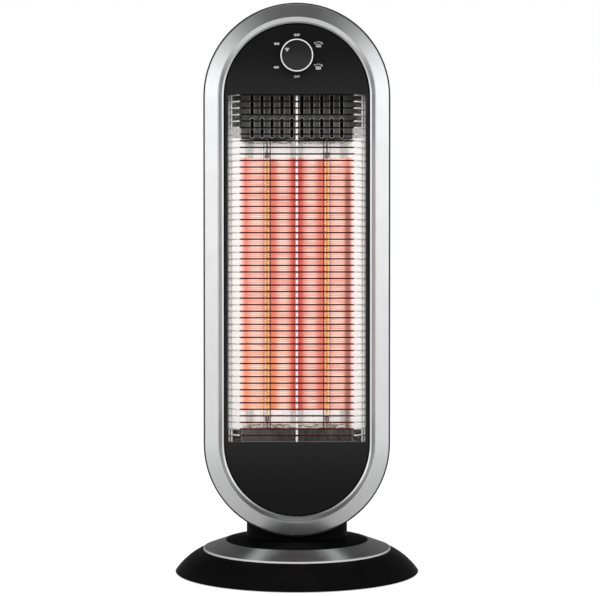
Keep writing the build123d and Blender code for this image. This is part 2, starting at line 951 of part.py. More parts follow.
with BuildPart() as thermal_cutout:
    with BuildSketch(Plane.XY.offset(collar_high + plate_sheet)):
        with Locations((0, (collar_back_y + plate_front_y) / 2)):
            Circle(cutout_radius)
    extrude(amount=cutout_height)
    fillet(thermal_cutout.faces().sort_by(Axis.Z)[-1].edges(), cutout_round)
save(thermal_cutout, "thermal_cutout")


# Rotary switch, its nut and shaft, and the knob on the shaft

with BuildPart() as switch_body:
    with BuildSketch(front_view(switch_back_y)):
        with Locations((0, knob_z)):
            RectangleRounded(switch_size, switch_size, knob_web)
    extrude(amount=switch_depth)
    with BuildSketch(front_view(panel_back_y)):
        with Locations((0, knob_z)):
            Circle(bushing_radius)
    extrude(amount=panel_back_y - bushing_front_y)
    with BuildSketch(front_view(switch_back_y + tab_length)):
        with Locations((0, knob_z)):
            with PolarLocations(tab_circle, switch_tabs):
                Rectangle(tab_sheet, tab_width)
    extrude(amount=tab_length)
    with BuildSketch(front_view(switch_back_y - knob_web)):
        with Locations((0, knob_z)):
            Circle(shaft_radius + shaft_fit)
    extrude(amount=switch_back_y - knob_web - bushing_front_y, mode=Mode.SUBTRACT)
save(switch_body, "switch_body")

with BuildPart() as switch_nut:
    with BuildSketch(front_view(panel_face_y)):
        with Locations((0, knob_z)):
            RegularPolygon(nut_width / 2, 6, major_radius=False)
            Circle(bushing_radius, mode=Mode.SUBTRACT)
    extrude(amount=nut_height)
save(switch_nut, "switch_nut")

with BuildPart() as switch_shaft:
    with BuildSketch(front_view(switch_back_y - knob_web - rest_gap)):
        with Locations((0, knob_z)):
            Circle(shaft_radius)
    extrude(amount=switch_back_y - knob_web - rest_gap - shaft_front_y)
save(switch_shaft, "switch_shaft")

step_radius = knob_radius - knob_trim_width
pointer_turn = knob_rest_angle


def pointer_outline():
    """A small triangle near the knob's edge that points outwards."""
    tip = step_radius - knob_round - rest_gap
    with Locations(Location((0, knob_z, 0), (0, 0, pointer_turn))):
        Polygon(
            (tip, 0),
            (tip - pointer_length, pointer_width / 2),
            (tip - pointer_length, -pointer_width / 2),
            align=None,
        )


with BuildPart() as control_knob:
    with BuildSketch(front_view(knob_back_y)):
        with Locations((0, knob_z)):
            Circle(knob_radius)
    extrude(amount=knob_skirt)
    with BuildSketch(front_view(knob_step_y)):
        with Locations((0, knob_z)):
            Circle(step_radius)
    extrude(amount=knob_length - knob_skirt)
    fillet(control_knob.faces().sort_by(Axis.Y)[0].edges(), knob_round)
    with BuildSketch(front_view(knob_back_y)):
        with Locations((0, knob_z)):
            Circle(nut_recess_radius)
    extrude(amount=nut_recess_depth, mode=Mode.SUBTRACT)
    with BuildSketch(front_view(recess_front_y)):
        with Locations((0, knob_z)):
            Circle(shaft_radius)
    extrude(amount=recess_front_y - shaft_front_y, mode=Mode.SUBTRACT)
    with BuildSketch(front_view(knob_front_y + pointer_pocket)):
        pointer_outline()
    extrude(amount=pointer_pocket, mode=Mode.SUBTRACT)
save(control_knob, "control_knob")

with BuildPart() as knob_pointer:
    with BuildSketch(front_view(knob_front_y + pointer_pocket)):
        pointer_outline()
    extrude(amount=pointer_pocket + pointer_height)
save(knob_pointer, "knob_pointer")

with BuildPart() as knob_trim_ring:
    with BuildSketch(front_view(knob_step_y)):
        with Locations((0, knob_z)):
            Circle(knob_radius)
            Circle(step_radius, mode=Mode.SUBTRACT)
    extrude(amount=knob_length - knob_skirt - knob_round)
    fillet(knob_trim_ring.faces().sort_by(Axis.Y)[0].edges(), knob_trim_width / 3)
save(knob_trim_ring, "knob_trim_ring")


# Terminal block on the casing's back wall

with BuildPart() as terminal_block:
    with BuildSketch(front_view(rear_y - shell_wall)):
        with Locations((0, tower_lift + block_rise)):
            Rectangle(block_length, block_height)
    extrude(amount=block_depth)
    with BuildSketch(front_view(rear_y - shell_wall - block_depth)):
        with Locations((0, tower_lift + block_rise)):
            with GridLocations(block_length / 3, block_height / 2, 3, 2):
                Circle(screw_radius + screw_clearance)
    extrude(amount=-block_depth / 2, mode=Mode.SUBTRACT)
save(terminal_block, "terminal_block")


# Turntable with the neck that carries the tower and the hub that turns in the base

with BuildPart() as turntable:
    with BuildSketch(Plane.XZ):
        with BuildLine():
            Polyline(
                (lead_bore, gear_bottom),
                (spigot_radius, gear_bottom),
                (spigot_radius, gear_top),
                (hub_radius, gear_top),
                (hub_radius, table_under),
                (table_radius, table_under),
                (table_radius, table_top),
                (table_crown_radius, table_top + table_crown),
                (lead_bore, table_top + table_crown),
                close=True,
            )
        profile = make_face()
        fillet(profile.vertices().sort_by_distance((table_radius, table_top))[0], table_edge_round)
    revolve(axis=Axis.Z)
    with BuildSketch(Plane.XY.offset(table_under)):
        RectangleRounded(neck_width, neck_depth, neck_round)
        Circle(lead_bore, mode=Mode.SUBTRACT)
    extrude(amount=low_centre - table_under)
    add(casing_form(tower_radius, front_y - tower_depth, rear_y, rear_round), mode=Mode.SUBTRACT)
    with BuildSketch(Plane.XY.offset(table_under)):
        with Locations(neck_screw_places):
            Circle(neck_head_radius + screw_clearance)
    extrude(amount=neck_head_height + screw_clearance, mode=Mode.SUBTRACT)
    with BuildSketch(Plane.XY.offset(table_under)):
        with Locations(neck_screw_places):
            Circle(neck_screw_radius)
    extrude(amount=boss_top - table_under, mode=Mode.SUBTRACT)
    with BuildSketch(Plane.XY.offset(gear_top)):
        with PolarLocations(gear_screw_circle, gear_screw_count):
            Circle(screw_radius)
    extrude(amount=neck_screw_bite, mode=Mode.SUBTRACT)
save(turntable, "turntable")

with BuildPart() as neck_screws:
    head_top = table_under + screw_clearance + neck_head_height
    with BuildSketch(Plane.XY.offset(head_top - neck_head_height)):
        with Locations(neck_screw_places):
            Circle(neck_head_radius)
    extrude(amount=neck_head_height)
    with BuildSketch(Plane.XY.offset(head_top)):
        with Locations(neck_screw_places):
            Circle(neck_screw_radius)
    extrude(amount=boss_top - rest_gap - head_top)
save(neck_screws, "neck_screws")

with BuildPart() as swivel_bush:
    with BuildSketch(Plane.XY.offset(bush_bottom)):
        Circle(hub_radius + bearing_fit + bush_wall)
    extrude(amount=deck_top - bush_bottom)
    with BuildSketch(Plane.XY.offset(deck_top)):
        Circle(hub_radius + bearing_fit + bush_flange_width)
    extrude(amount=bush_flange)
    with BuildSketch(Plane.XY.offset(bush_bottom)):
        Circle(hub_radius + bearing_fit)
    extrude(amount=deck_top + bush_flange - bush_bottom, mode=Mode.SUBTRACT)
save(swivel_bush, "swivel_bush")


# Swing drive: a toothed sector on the hub, and a pinion on the motor's shaft

def tooth_count_in_sector():
    return 2 * int((gear_half_angle - 2) / (360 / gear_teeth)) + 1


with BuildPart() as swing_gear:
    root_radius = gear_pitch_radius - 1.25 * module
    start = 90 - gear_half_angle
    teeth_shown = tooth_count_in_sector()
    first_tooth = 90 - (teeth_shown - 1) / 2 * 360 / gear_teeth
    with BuildSketch(Plane.XY.offset(gear_bottom)):
        Circle(gear_hub_radius)
        with BuildLine():
            edge = CenterArc((0, 0), root_radius, start, 2 * gear_half_angle)
            Polyline(edge @ 1, (0, 0), edge @ 0)
        make_face()
        for tooth in range(teeth_shown):
            with Locations(Location((0, 0, 0), (0, 0, first_tooth + tooth * 360 / gear_teeth))):
                Polygon(*gear_outline(gear_teeth), align=None)
        Circle(spigot_radius, mode=Mode.SUBTRACT)
        with PolarLocations(gear_screw_circle, gear_screw_count):
            Circle(screw_radius, mode=Mode.SUBTRACT)
    extrude(amount=gear_thickness)
save(swing_gear, "swing_gear")

with BuildPart() as gear_screws:
    with BuildSketch(Plane.XY.offset(gear_bottom - screw_head_height)):
        with PolarLocations(gear_screw_circle, gear_screw_count):
            Circle(screw_head_radius)
    extrude(amount=screw_head_height)
    with BuildSketch(Plane.XY.offset(gear_bottom)):
        with PolarLocations(gear_screw_circle, gear_screw_count):
            Circle(screw_radius)
    extrude(amount=gear_thickness + neck_screw_bite - rest_gap)
save(gear_screws, "gear_screws")

with BuildPart() as drive_pinion:
    pinion_root = pinion_pitch_radius - 1.25 * module
    half_pitch = 180 / pinion_teeth
    with BuildSketch(Plane.XY.offset(gear_bottom)):
        with Locations((0, drive_y)):
            Circle(pinion_root)
        for tooth in range(pinion_teeth):
            turn = -90 + half_pitch + tooth * 2 * half_pitch
            with Locations(Location((0, drive_y, 0), (0, 0, turn))):
                Polygon(*gear_outline(pinion_teeth), align=None)
        with Locations((0, drive_y)):
            Circle(motor_shaft_radius, mode=Mode.SUBTRACT)
    extrude(amount=gear_thickness)
save(drive_pinion, "drive_pinion")

with BuildPart() as motor_shaft:
    with BuildSketch(Plane.XY.offset(motor_top + motor_boss_height - motor_shaft_depth)):
        with Locations((0, drive_y)):
            Circle(motor_shaft_radius)
    extrude(amount=gear_top - motor_top - motor_boss_height + motor_shaft_depth)
save(motor_shaft, "motor_shaft")

ear_places = [(-ear_reach, drive_y), (ear_reach, drive_y)]

with BuildPart() as swing_motor:
    with BuildSketch(Plane.XY.offset(motor_bottom)):
        with Locations((0, drive_y)):
            Circle(motor_radius)
    extrude(amount=motor_height)
    with BuildSketch(Plane.XY.offset(motor_top - ear_sheet)):
        with Locations((0, drive_y)):
            SlotCenterToCenter(2 * ear_reach, ear_width)
    extrude(amount=ear_sheet)
    with BuildSketch(Plane.XY.offset(motor_top)):
        with Locations((0, drive_y)):
            Circle(motor_boss_radius)
    extrude(amount=motor_boss_height)
    with BuildSketch(Plane.XY.offset(motor_top + motor_boss_height)):
        with Locations((0, drive_y)):
            Circle(motor_shaft_radius + bearing_fit)
    extrude(amount=-motor_shaft_depth - rest_gap, mode=Mode.SUBTRACT)
    with BuildSketch(Plane.XY.offset(motor_top)):
        with Locations(ear_places):
            Circle(screw_radius)
    extrude(amount=-ear_sheet, mode=Mode.SUBTRACT)
save(swing_motor, "swing_motor")

with BuildPart() as motor_screws:
    with BuildSketch(Plane.XY.offset(motor_top - ear_sheet - screw_head_height)):
        with Locations(ear_places):
            Circle(screw_head_radius)
    extrude(amount=screw_head_height)
    with BuildSketch(Plane.XY.offset(motor_top - ear_sheet)):
        with Locations(ear_places):
            Circle(screw_radius)
    extrude(amount=(deck_under - motor_top) * 0.8)
save(motor_screws, "motor_screws")


# Base cover: a dome with a seat for the silver ring, a sunk deck, posts, bosses and swing stops

stop_turn = gear_half_angle + swing_limit + stop_margin + degrees(stop_radius / stop_circle)
stop_places = [
    (side * stop_circle * sin(radians(stop_turn)), stop_circle * cos(radians(stop_turn)))
    for side in (-1, 1)
]
gland_block_low = plate_top + rest_gap
gland_block_high = gland_height + gland_block_rise

with BuildPart() as cover_bosses:
    with BuildSketch(Plane.XY.offset(plate_top)):
        with PolarLocations(base_screw_circle, base_screw_count, start_angle=45):
            Circle(base_boss_radius)
    extrude(amount=shoulder_height - plate_top)
    with BuildSketch(front_view(gland_seat)):
        with Locations((0, (gland_block_low + gland_block_high) / 2)):
            Rectangle(gland_block_width, gland_block_high - gland_block_low)
    extrude(amount=-gland_block_depth)
    add(solid_base, mode=Mode.INTERSECT)

with BuildPart() as base_cover:
    add(solid_base)
    with BuildSketch(Plane.XZ):
        with BuildLine():
            rim = base_radius - plate_ledge
            Polyline(
                (0, base_clearance),
                (rim, base_clearance),
                (rim, plate_top),
                (shoulder_radius - base_wall, shoulder_height - base_wall),
                (trim_inner + trim_sheet - base_wall, deck_under),
                (0, deck_under),
                close=True,
            )
        make_face()
    revolve(axis=Axis.Z, mode=Mode.SUBTRACT)
    with BuildSketch(Plane.XY.offset(deck_top)):
        Circle(trim_inner + trim_sheet)
    extrude(amount=trim_high - deck_top, mode=Mode.SUBTRACT)
    with BuildSketch(Plane.XY.offset(deck_under)):
        Circle(hub_radius + bearing_fit + bush_wall)
    extrude(amount=deck_sheet, mode=Mode.SUBTRACT)
    add(cover_bosses.part)
    with BuildSketch(Plane.XY.offset(plate_top)):
        with PolarLocations(base_screw_circle, base_screw_count, start_angle=45):
            Circle(screw_radius)
    extrude(amount=neck_screw_bite, mode=Mode.SUBTRACT)
    with BuildSketch(front_view(gland_seat)):
        with Locations((0, gland_height)):
            Circle(gland_radius)
    extrude(amount=-(base_radius - gland_seat), mode=Mode.SUBTRACT)
    with BuildSketch(Plane.XY.offset(motor_top)):
        with Locations(ear_places):
            Circle(motor_post_radius)
            Circle(screw_radius, mode=Mode.SUBTRACT)
    extrude(amount=deck_under - motor_top)
    with BuildSketch(Plane.XY.offset(gear_bottom)):
        with Locations(stop_places):
            Circle(stop_radius)
    extrude(amount=deck_under - gear_bottom)
save(base_cover, "base_cover")

with BuildPart() as base_trim_ring:
    with BuildSketch(Plane.XZ):
        with BuildLine():
            Polyline(
                (trim_outer, trim_low),
                (trim_inner, trim_high),
                (trim_inner, trim_high - trim_skirt),
                (trim_inner + trim_sheet, trim_high - trim_skirt),
                (trim_inner + trim_sheet, trim_high - trim_sheet),
                (trim_outer - trim_inset, trim_low - trim_sheet),
                (trim_outer, trim_low - trim_lip),
                close=True,
            )
        section = make_face()
        fillet(section.vertices().sort_by_distance((trim_inner, trim_high))[0], trim_round)
        fillet(section.vertices().sort_by_distance((trim_outer, trim_low))[0], trim_round / 2)
    revolve(axis=Axis.Z)
save(base_trim_ring, "base_trim_ring")


# Steel bottom plate with feet and screws

with BuildPart() as bottom_plate:
    with BuildSketch(Plane.XY.offset(base_clearance)):
        Circle(plate_radius)
        with PolarLocations(foot_circle, foot_count):
            Circle(foot_peg_radius, mode=Mode.SUBTRACT)
        with PolarLocations(base_screw_circle, base_screw_count, start_angle=45):
            Circle(screw_radius, mode=Mode.SUBTRACT)
        with Locations((tip_x, 0)):
            Circle(plunger_radius + plunger_fit, mode=Mode.SUBTRACT)
    extrude(amount=plate_thickness)
    with BuildSketch(Plane.XY.offset(base_clearance)):
        with PolarLocations(base_screw_circle, base_screw_count, start_angle=45):
            Circle(screw_head_radius)
    extrude(amount=plate_thickness, taper=45, mode=Mode.SUBTRACT)
save(bottom_plate, "bottom_plate")

with BuildPart() as base_screws:
    with BuildSketch(Plane.XY.offset(base_clearance)):
        with PolarLocations(base_screw_circle, base_screw_count, start_angle=45):
            Circle(screw_head_radius)
    extrude(amount=plate_thickness, taper=45)
    with BuildSketch(Plane.XY.offset(base_clearance)):
        with PolarLocations(base_screw_circle, base_screw_count, start_angle=45):
            Circle(screw_radius)
    extrude(amount=plate_thickness + neck_screw_bite - rest_gap)
save(base_screws, "base_screws")

with BuildPart() as rubber_feet:
    with BuildSketch():
        with PolarLocations(foot_circle, foot_count):
            Circle(foot_radius)
    extrude(amount=base_clearance)
    with BuildSketch():
        with PolarLocations(foot_circle, foot_count):
            Circle(foot_peg_radius)
    extrude(amount=plate_top + foot_peg_rise)
save(rubber_feet, "rubber_feet")


# Tip-over switch: a sprung plunger that the floor holds up against a small switch

with BuildPart() as tip_plunger:
    with BuildSketch():
        with Locations((tip_x, 0)):
            Circle(plunger_radius)
    extrude(amount=plunger_top)
    with BuildSketch(Plane.XY.offset(plunger_top - plunger_flange_height)):
        with Locations((tip_x, 0)):
            Circle(plunger_radius + plunger_flange)
    extrude(amount=plunger_flange_height)
    with BuildSketch(Plane.XY.offset(plunger_top)):
        with Locations((tip_x, 0)):
            Circle(plunger_rod_radius)
    extrude(amount=housing_top - rest_gap - plunger_top)
save(tip_plunger, "tip_plunger")

with BuildPart() as tip_switch_housing:
    with BuildSketch(Plane.XY.offset(plate_top)):
        with Locations((tip_x, 0)):
            Rectangle(housing_length, housing_width)
    extrude(amount=housing_top - plate_top)
    with BuildSketch(Plane.XY.offset(plate_top)):
        with Locations((tip_x, 0)):
            Circle(plunger_radius + plunger_flange + rest_gap)
    extrude(amount=spring_ceiling - plate_top, mode=Mode.SUBTRACT)
    with BuildSketch(Plane.XY.offset(plate_top)):
        with Locations((tip_x, 0)):
            Circle(plunger_rod_radius + plunger_fit)
    extrude(amount=housing_top - plate_top, mode=Mode.SUBTRACT)
save(tip_switch_housing, "tip_switch_housing")

with BuildPart() as tip_microswitch:
    with BuildSketch(Plane.XY.offset(housing_top)):
        with Locations((tip_x, 0)):
            Rectangle(microswitch_length, microswitch_width)
    extrude(amount=microswitch_height)
save(tip_microswitch, "tip_microswitch")

spring_low = plunger_top + spring_wire + weld_gap
spring_height = spring_ceiling - spring_wire - weld_gap - spring_low
with BuildPart() as tip_spring:
    add(wound_wire(Vector(tip_x, 0, spring_low), spring_radius, spring_wire, spring_turns, spring_height))
save(tip_spring, "tip_spring")
print("tip spring: gap between turns", coil_gap(spring_radius, spring_wire, spring_turns, spring_height))


# Sleeve where the supply cord enters the back of the base

with BuildPart() as cord_gland:
    with BuildSketch(front_view(gland_seat)):
        with Locations((0, gland_height)):
            Circle(gland_radius)
    extrude(amount=-(gland_reach - gland_seat))
    fillet(cord_gland.faces().sort_by(Axis.Y)[-1].edges(), trim_round)
    with BuildSketch(front_view(gland_seat - gland_collar_length)):
        with Locations((0, gland_height)):
            Circle(gland_radius + gland_collar)
    extrude(amount=-gland_collar_length)
    with BuildSketch(front_view(gland_seat - gland_collar_length)):
        with Locations((0, gland_height)):
            Circle(gland_bore)
    extrude(amount=-(gland_reach - gland_seat + gland_collar_length), mode=Mode.SUBTRACT)
save(cord_gland, "cord_gland")
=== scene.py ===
import math

import bpy
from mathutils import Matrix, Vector


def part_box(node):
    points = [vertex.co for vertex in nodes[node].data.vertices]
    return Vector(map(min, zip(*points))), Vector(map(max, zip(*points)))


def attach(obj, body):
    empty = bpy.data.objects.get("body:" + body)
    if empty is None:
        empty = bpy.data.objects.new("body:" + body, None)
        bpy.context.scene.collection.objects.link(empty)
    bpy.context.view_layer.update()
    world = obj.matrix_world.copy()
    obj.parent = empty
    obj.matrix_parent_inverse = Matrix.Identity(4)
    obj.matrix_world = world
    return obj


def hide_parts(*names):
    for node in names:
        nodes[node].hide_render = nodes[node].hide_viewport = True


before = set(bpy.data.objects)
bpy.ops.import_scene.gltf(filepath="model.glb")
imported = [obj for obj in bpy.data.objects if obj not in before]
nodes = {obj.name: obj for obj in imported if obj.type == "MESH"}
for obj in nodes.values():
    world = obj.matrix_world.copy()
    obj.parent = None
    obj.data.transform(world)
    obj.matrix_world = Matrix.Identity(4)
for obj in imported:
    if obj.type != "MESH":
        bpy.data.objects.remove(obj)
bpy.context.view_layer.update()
MM = 0.001

# Places read from the CAD nodes
REFLECTOR_OVERRUN = 9.0 * MM

tube_low, tube_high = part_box("quartz_tube_left")
ring_low, ring_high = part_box("knob_trim_ring")
reflector_low, reflector_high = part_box("reflector")
TUBE_OUTER_X = -tube_low.x
TUBE_INNER_X = -tube_high.x
TUBE_X = (TUBE_INNER_X + TUBE_OUTER_X) / 2
KNOB_Z = (ring_low.z + ring_high.z) / 2
PANEL_FACE_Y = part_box("front_panel")[0].y
UPPER_PLATE_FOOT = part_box("upper_slotted_plate")[0].z
LOWER_PLATE_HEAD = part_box("lower_plate")[1].z
WINDOW_MIDDLE_Z = (reflector_low.z + reflector_high.z) / 2
WINDOW_HALF = (reflector_high.z - reflector_low.z) / 2 - REFLECTOR_OVERRUN


# Picking and settling

def only(thing):
    """Make one object the only one selected and active."""
    bpy.ops.object.select_all(action="DESELECT")
    thing.select_set(True)
    bpy.context.view_layer.objects.active = thing


def settle(thing, name):
    """Name a finished piece and put its place into its mesh."""
    thing.name = name
    only(thing)
    bpy.ops.object.transform_apply(location=True, rotation=True, scale=True)


# Materials

class Finish:
    """A material on the Principled shader, with patterns in metres on the object itself."""

    def __init__(self, name, colour, roughness, metallic=0.0):
        self.material = bpy.data.materials.new(name)
        self.material.use_nodes = True
        self.tree = self.material.node_tree
        self.shader = self.tree.nodes["Principled BSDF"]
        coordinates = self.tree.nodes.new("ShaderNodeTexCoord").outputs
        self.place = coordinates["Object"]
        self.normal = coordinates["Normal"]
        self.shader.inputs["Base Color"].default_value = (*colour, 1.0)
        self.shader.inputs["Roughness"].default_value = roughness
        self.shader.inputs["Metallic"].default_value = metallic
        self.colour = colour
        self.roughness = roughness

    def set(self, **values):
        for key, value in values.items():
            self.shader.inputs[key.replace("_", " ")].default_value = value
        return self

    def node(self, kind, **inputs):
        made = self.tree.nodes.new(kind)
        for key, value in inputs.items():
            socket = made.inputs[key.replace("_", " ")]
            if hasattr(value, "is_output"):
                self.tree.links.new(value, socket)
            else:
                socket.default_value = value
        return made

    def along(self, axis):
        """The place along one of the object's axes."""
        return self.node("ShaderNodeSeparateXYZ", Vector=self.place).outputs[axis]

    def join(self, source, target):
        """Lead a pattern into one of the shader's sockets."""
        self.tree.links.new(source, self.shader.inputs[target])

    def stretched(self, scale):
        """The object's place, scaled apart along X, Y and Z."""
        mapping = self.node("ShaderNodeMapping", Vector=self.place, Scale=scale)
        return mapping.outputs["Vector"]

    def noise(self, scale, detail=3.0, place=None):
        """Drifting values round 0.5, at a scale in waves to the metre."""
        made = self.node("ShaderNodeTexNoise", Scale=scale, Detail=detail)
        self.tree.links.new(place or self.place, made.inputs["Vector"])
        return made.outputs["Fac"]

    def remap(self, value, low, high, out_low=0.0, out_high=1.0, smooth=False):
        """Stretch the span from low to high onto another, and hold it at the ends."""
        made = self.node("ShaderNodeMapRange", Value=value)
        made.interpolation_type = "SMOOTHSTEP" if smooth else "LINEAR"
        made.inputs["From Min"].default_value = low
        made.inputs["From Max"].default_value = high
        made.inputs["To Min"].default_value = out_low
        made.inputs["To Max"].default_value = out_high
        return made.outputs["Result"]

    def maths(self, operation, first, second=0.0):
        made = self.tree.nodes.new("ShaderNodeMath")
        made.operation = operation
        for index, value in enumerate((first, second)):
            if hasattr(value, "is_output"):
                self.tree.links.new(value, made.inputs[index])
            else:
                made.inputs[index].default_value = value
        return made.outputs["Value"]

    def both(self, first, second):
        """The share that two shares have in common."""
        return self.maths("MULTIPLY", first, second)

    def either(self, first, second):
        """The greater of two shares."""
        return self.maths("MAXIMUM", first, second)

    def off(self, value, centre):
        """How far a value lies from a centre, to either side."""
        return self.maths("ABSOLUTE", self.maths("SUBTRACT", value, centre))

    def band(self, value, centre, half, soft):
        """1 within half of a centre, falling to 0 over soft on both sides."""
        return self.remap(self.off(value, centre), half + soft, half, smooth=True)

    def blend(self, factor, first, second):
        """The first colour where the factor is 0 and the second where it is 1."""
        made = self.tree.nodes.new("ShaderNodeMix")
        made.data_type = "RGBA"
        self.tree.links.new(factor, made.inputs["Factor"])
        for socket, value in ((made.inputs[6], first), (made.inputs[7], second)):
            if hasattr(value, "is_output"):
                self.tree.links.new(value, socket)
            else:
                socket.default_value = (*value, 1.0)
        return made.outputs[2]

    def mottle(self, scale, spread, place=None, detail=4.0):
        """Let the colour drift lighter and darker by a share of itself."""
        darker = tuple(channel * (1 - spread) for channel in self.colour)
        lighter = tuple(min(1.0, channel * (1 + spread)) for channel in self.colour)
        factor = self.remap(self.noise(scale, detail, place), 0.3, 0.7)
        self.join(self.blend(factor, darker, lighter), "Base Color")
        return self

    def wear(self, scale, spread, place=None):
        """Let the roughness drift by an amount up and down."""
        value = self.noise(scale, 5.0, place)
        low, high = self.roughness - spread, self.roughness + spread
        self.join(self.remap(value, 0.3, 0.7, low, high), "Roughness")
        return self

    def grain(self, scale, depth, place=None, detail=2.0):
        """Raise a fine surface grain, with its depth in metres."""
        bump = self.node("ShaderNodeBump", Height=self.noise(scale, detail, place))
        bump.inputs["Strength"].default_value = 1.0
        bump.inputs["Distance"].default_value = depth
        self.join(bump.outputs["Normal"], "Normal")
        return self

    def put_on(self, *names):
        """Give the finish to nodes by name, or to pieces made here."""
        for name in names:
            thing = nodes[name] if isinstance(name, str) else name
            thing.data.materials.clear()
            thing.data.materials.append(self.material)


shell_black = (
    Finish("shell_black", (0.009, 0.009, 0.0095), 0.42)
    .set(Specular_IOR_Level=0.3)
    .mottle(40.0, 0.15)
    .wear(70.0, 0.04)
    .grain(1500.0, 0.06 * MM)
)
base_black = (
    Finish("base_black", (0.0045, 0.0045, 0.0047), 0.36)
    .set(Specular_IOR_Level=0.05)
    .mottle(30.0, 0.15)
    .wear(50.0, 0.03)
    .grain(900.0, 0.02 * MM)
)
table_black = (
    Finish("table_black", (0.003, 0.003, 0.0032), 0.5)
    .set(Specular_IOR_Level=0.03)
    .mottle(30.0, 0.15)
    .wear(50.0, 0.03)
    .grain(1500.0, 0.04 * MM)
)
bright_wire = (
    Finish("bright_wire", (0.95, 0.95, 0.94), 0.2, 0.1)
    .mottle(220.0, 0.04)
    .wear(400.0, 0.04)
    .grain(1800.0, 0.01 * MM)
)
zinc_steel = (
    Finish("zinc_steel", (0.55, 0.55, 0.54), 0.35, 1.0)
    .mottle(160.0, 0.12)
    .wear(260.0, 0.08)
    .grain(2000.0, 0.02 * MM)
)
dull_bracket = (
    Finish("dull_bracket", (0.05, 0.05, 0.05), 0.5, 0.6)
    .mottle(160.0, 0.2)
    .wear(260.0, 0.08)
    .grain(2000.0, 0.02 * MM)
)
steatite = (
    Finish("steatite", (0.8, 0.78, 0.72), 0.6)
    .mottle(200.0, 0.05)
    .wear(150.0, 0.05)
    .grain(1600.0, 0.04 * MM)
)
lead_steel = (
    Finish("lead_steel", (0.32, 0.3, 0.29), 0.4, 0.4)
    .mottle(900.0, 0.5)
    .wear(260.0, 0.08)
)
# Upper end caps: steatite painted near black, for the shade they sit in behind the upper plate
painted_shade_steatite = (
    Finish("painted_shade_steatite", (0.012, 0.011, 0.01), 0.8)
    .set(Specular_IOR_Level=0.1)
    .mottle(200.0, 0.2)
    .grain(1600.0, 0.04 * MM)
)
dim_mark = (
    Finish("dim_mark", (0.4, 0.4, 0.4), 0.5)
    .mottle(1500.0, 0.25)
    .wear(500.0, 0.05)
)
white_mark = (
    Finish("white_mark", (0.86, 0.86, 0.86), 0.4)
    .mottle(600.0, 0.04)
    .wear(500.0, 0.05)
)
plain_moulding = (
    Finish("plain_moulding", (0.03, 0.03, 0.03), 0.5)
    .mottle(120.0, 0.15)
    .grain(1500.0, 0.04 * MM)
)
white_nylon = (
    Finish("white_nylon", (0.78, 0.77, 0.73), 0.45)
    .mottle(120.0, 0.04)
    .grain(1500.0, 0.03 * MM)
)
rubber = (
    Finish("rubber", (0.02, 0.02, 0.02), 0.75)
    .mottle(200.0, 0.2)
    .grain(2500.0, 0.05 * MM)
)

# The silver bezel: fine metal lacquer, with a painted highlight, whiter and less metallic, on the
# bevel of the arch, and painted shade on the lip inside it
ARCH_Z = 488.7 * MM
CROWN_RADIUS = 79.5 * MM
BEVEL_RADIUS = 75.9 * MM
ARCH_HIGHLIGHT_START = 15.0 * MM
ARCH_HIGHLIGHT_FULL = 65.0 * MM
ARCH_HIGHLIGHT_EDGE = 0.1 * MM

silver_lacquer = Finish("silver_lacquer", (0.7, 0.705, 0.71), 0.33, 0.95)
from_middle = silver_lacquer.along("X")
above_arch = silver_lacquer.maths("SUBTRACT", silver_lacquer.along("Z"), ARCH_Z)
radius_squared = silver_lacquer.maths(
    "ADD",
    silver_lacquer.both(from_middle, from_middle),
    silver_lacquer.both(above_arch, above_arch),
)
arch_radius = silver_lacquer.maths("SQRT", radius_squared)
up_the_arch = silver_lacquer.remap(above_arch, ARCH_HIGHLIGHT_START, ARCH_HIGHLIGHT_FULL, smooth=True)
inside_crown = silver_lacquer.remap(
    arch_radius, CROWN_RADIUS + ARCH_HIGHLIGHT_EDGE, CROWN_RADIUS - 4 * ARCH_HIGHLIGHT_EDGE
)
inside_bevel = silver_lacquer.remap(
    arch_radius, BEVEL_RADIUS + ARCH_HIGHLIGHT_EDGE, BEVEL_RADIUS - 2 * ARCH_HIGHLIGHT_EDGE
)
# Painted highlight on the bevel of the arch, and painted shade on the lip inside it
painted_arch_highlight = silver_lacquer.both(inside_crown, up_the_arch)
painted_lip_shade = silver_lacquer.both(inside_bevel, up_the_arch)
flake = silver_lacquer.remap(silver_lacquer.noise(2600.0, 4.0), 0.3, 0.7)
silver = silver_lacquer.blend(flake, (0.665, 0.67, 0.675), (0.735, 0.74, 0.745))
silver = silver_lacquer.blend(painted_arch_highlight, silver, (0.85, 0.85, 0.85))
silver_lacquer.join(silver_lacquer.blend(painted_lip_shade, silver, (0.22, 0.22, 0.22)), "Base Color")
silver_lacquer.join(silver_lacquer.remap(painted_arch_highlight, 0.0, 1.0, 0.95, 0.12), "Metallic")
silver_lacquer.wear(60.0, 0.02)
silver_lacquer.grain(5200.0, 0.02 * MM)

# The silver ring of the base: lacquer with a painted highlight along its outer lip, paler and less
# metallic there
RING_LIP_Z = 25.4 * MM
LIP_EDGE = 0.1 * MM

ring_lacquer = Finish("ring_lacquer", (0.67, 0.675, 0.68), 0.3, 0.95)
painted_lip_highlight = ring_lacquer.remap(ring_lacquer.along("Z"), RING_LIP_Z + LIP_EDGE, RING_LIP_Z - LIP_EDGE)
flake = ring_lacquer.noise(2600.0)
ring_grey = ring_lacquer.blend(flake, (0.63, 0.635, 0.64), (0.71, 0.715, 0.72))
ring_lacquer.join(ring_lacquer.blend(painted_lip_highlight, ring_grey, (0.8, 0.8, 0.8)), "Base Color")
ring_lacquer.join(ring_lacquer.remap(painted_lip_highlight, 0.0, 1.0, 0.95, 0.2), "Metallic")
ring_lacquer.wear(40.0, 0.02)
ring_lacquer.grain(5200.0, 0.02 * MM)

# The front panel: black gloss with painted light, palest beside the window, and painted shade, near
# black, on all that lies behind its face round its edge
PANEL_LIGHT_START = WINDOW_HALF - 15.0 * MM
PANEL_LIGHT_END = WINDOW_HALF + 55.0 * MM
GAP_SHADE_START = PANEL_FACE_Y + 0.2 * MM
GAP_SHADE_END = PANEL_FACE_Y + 0.5 * MM

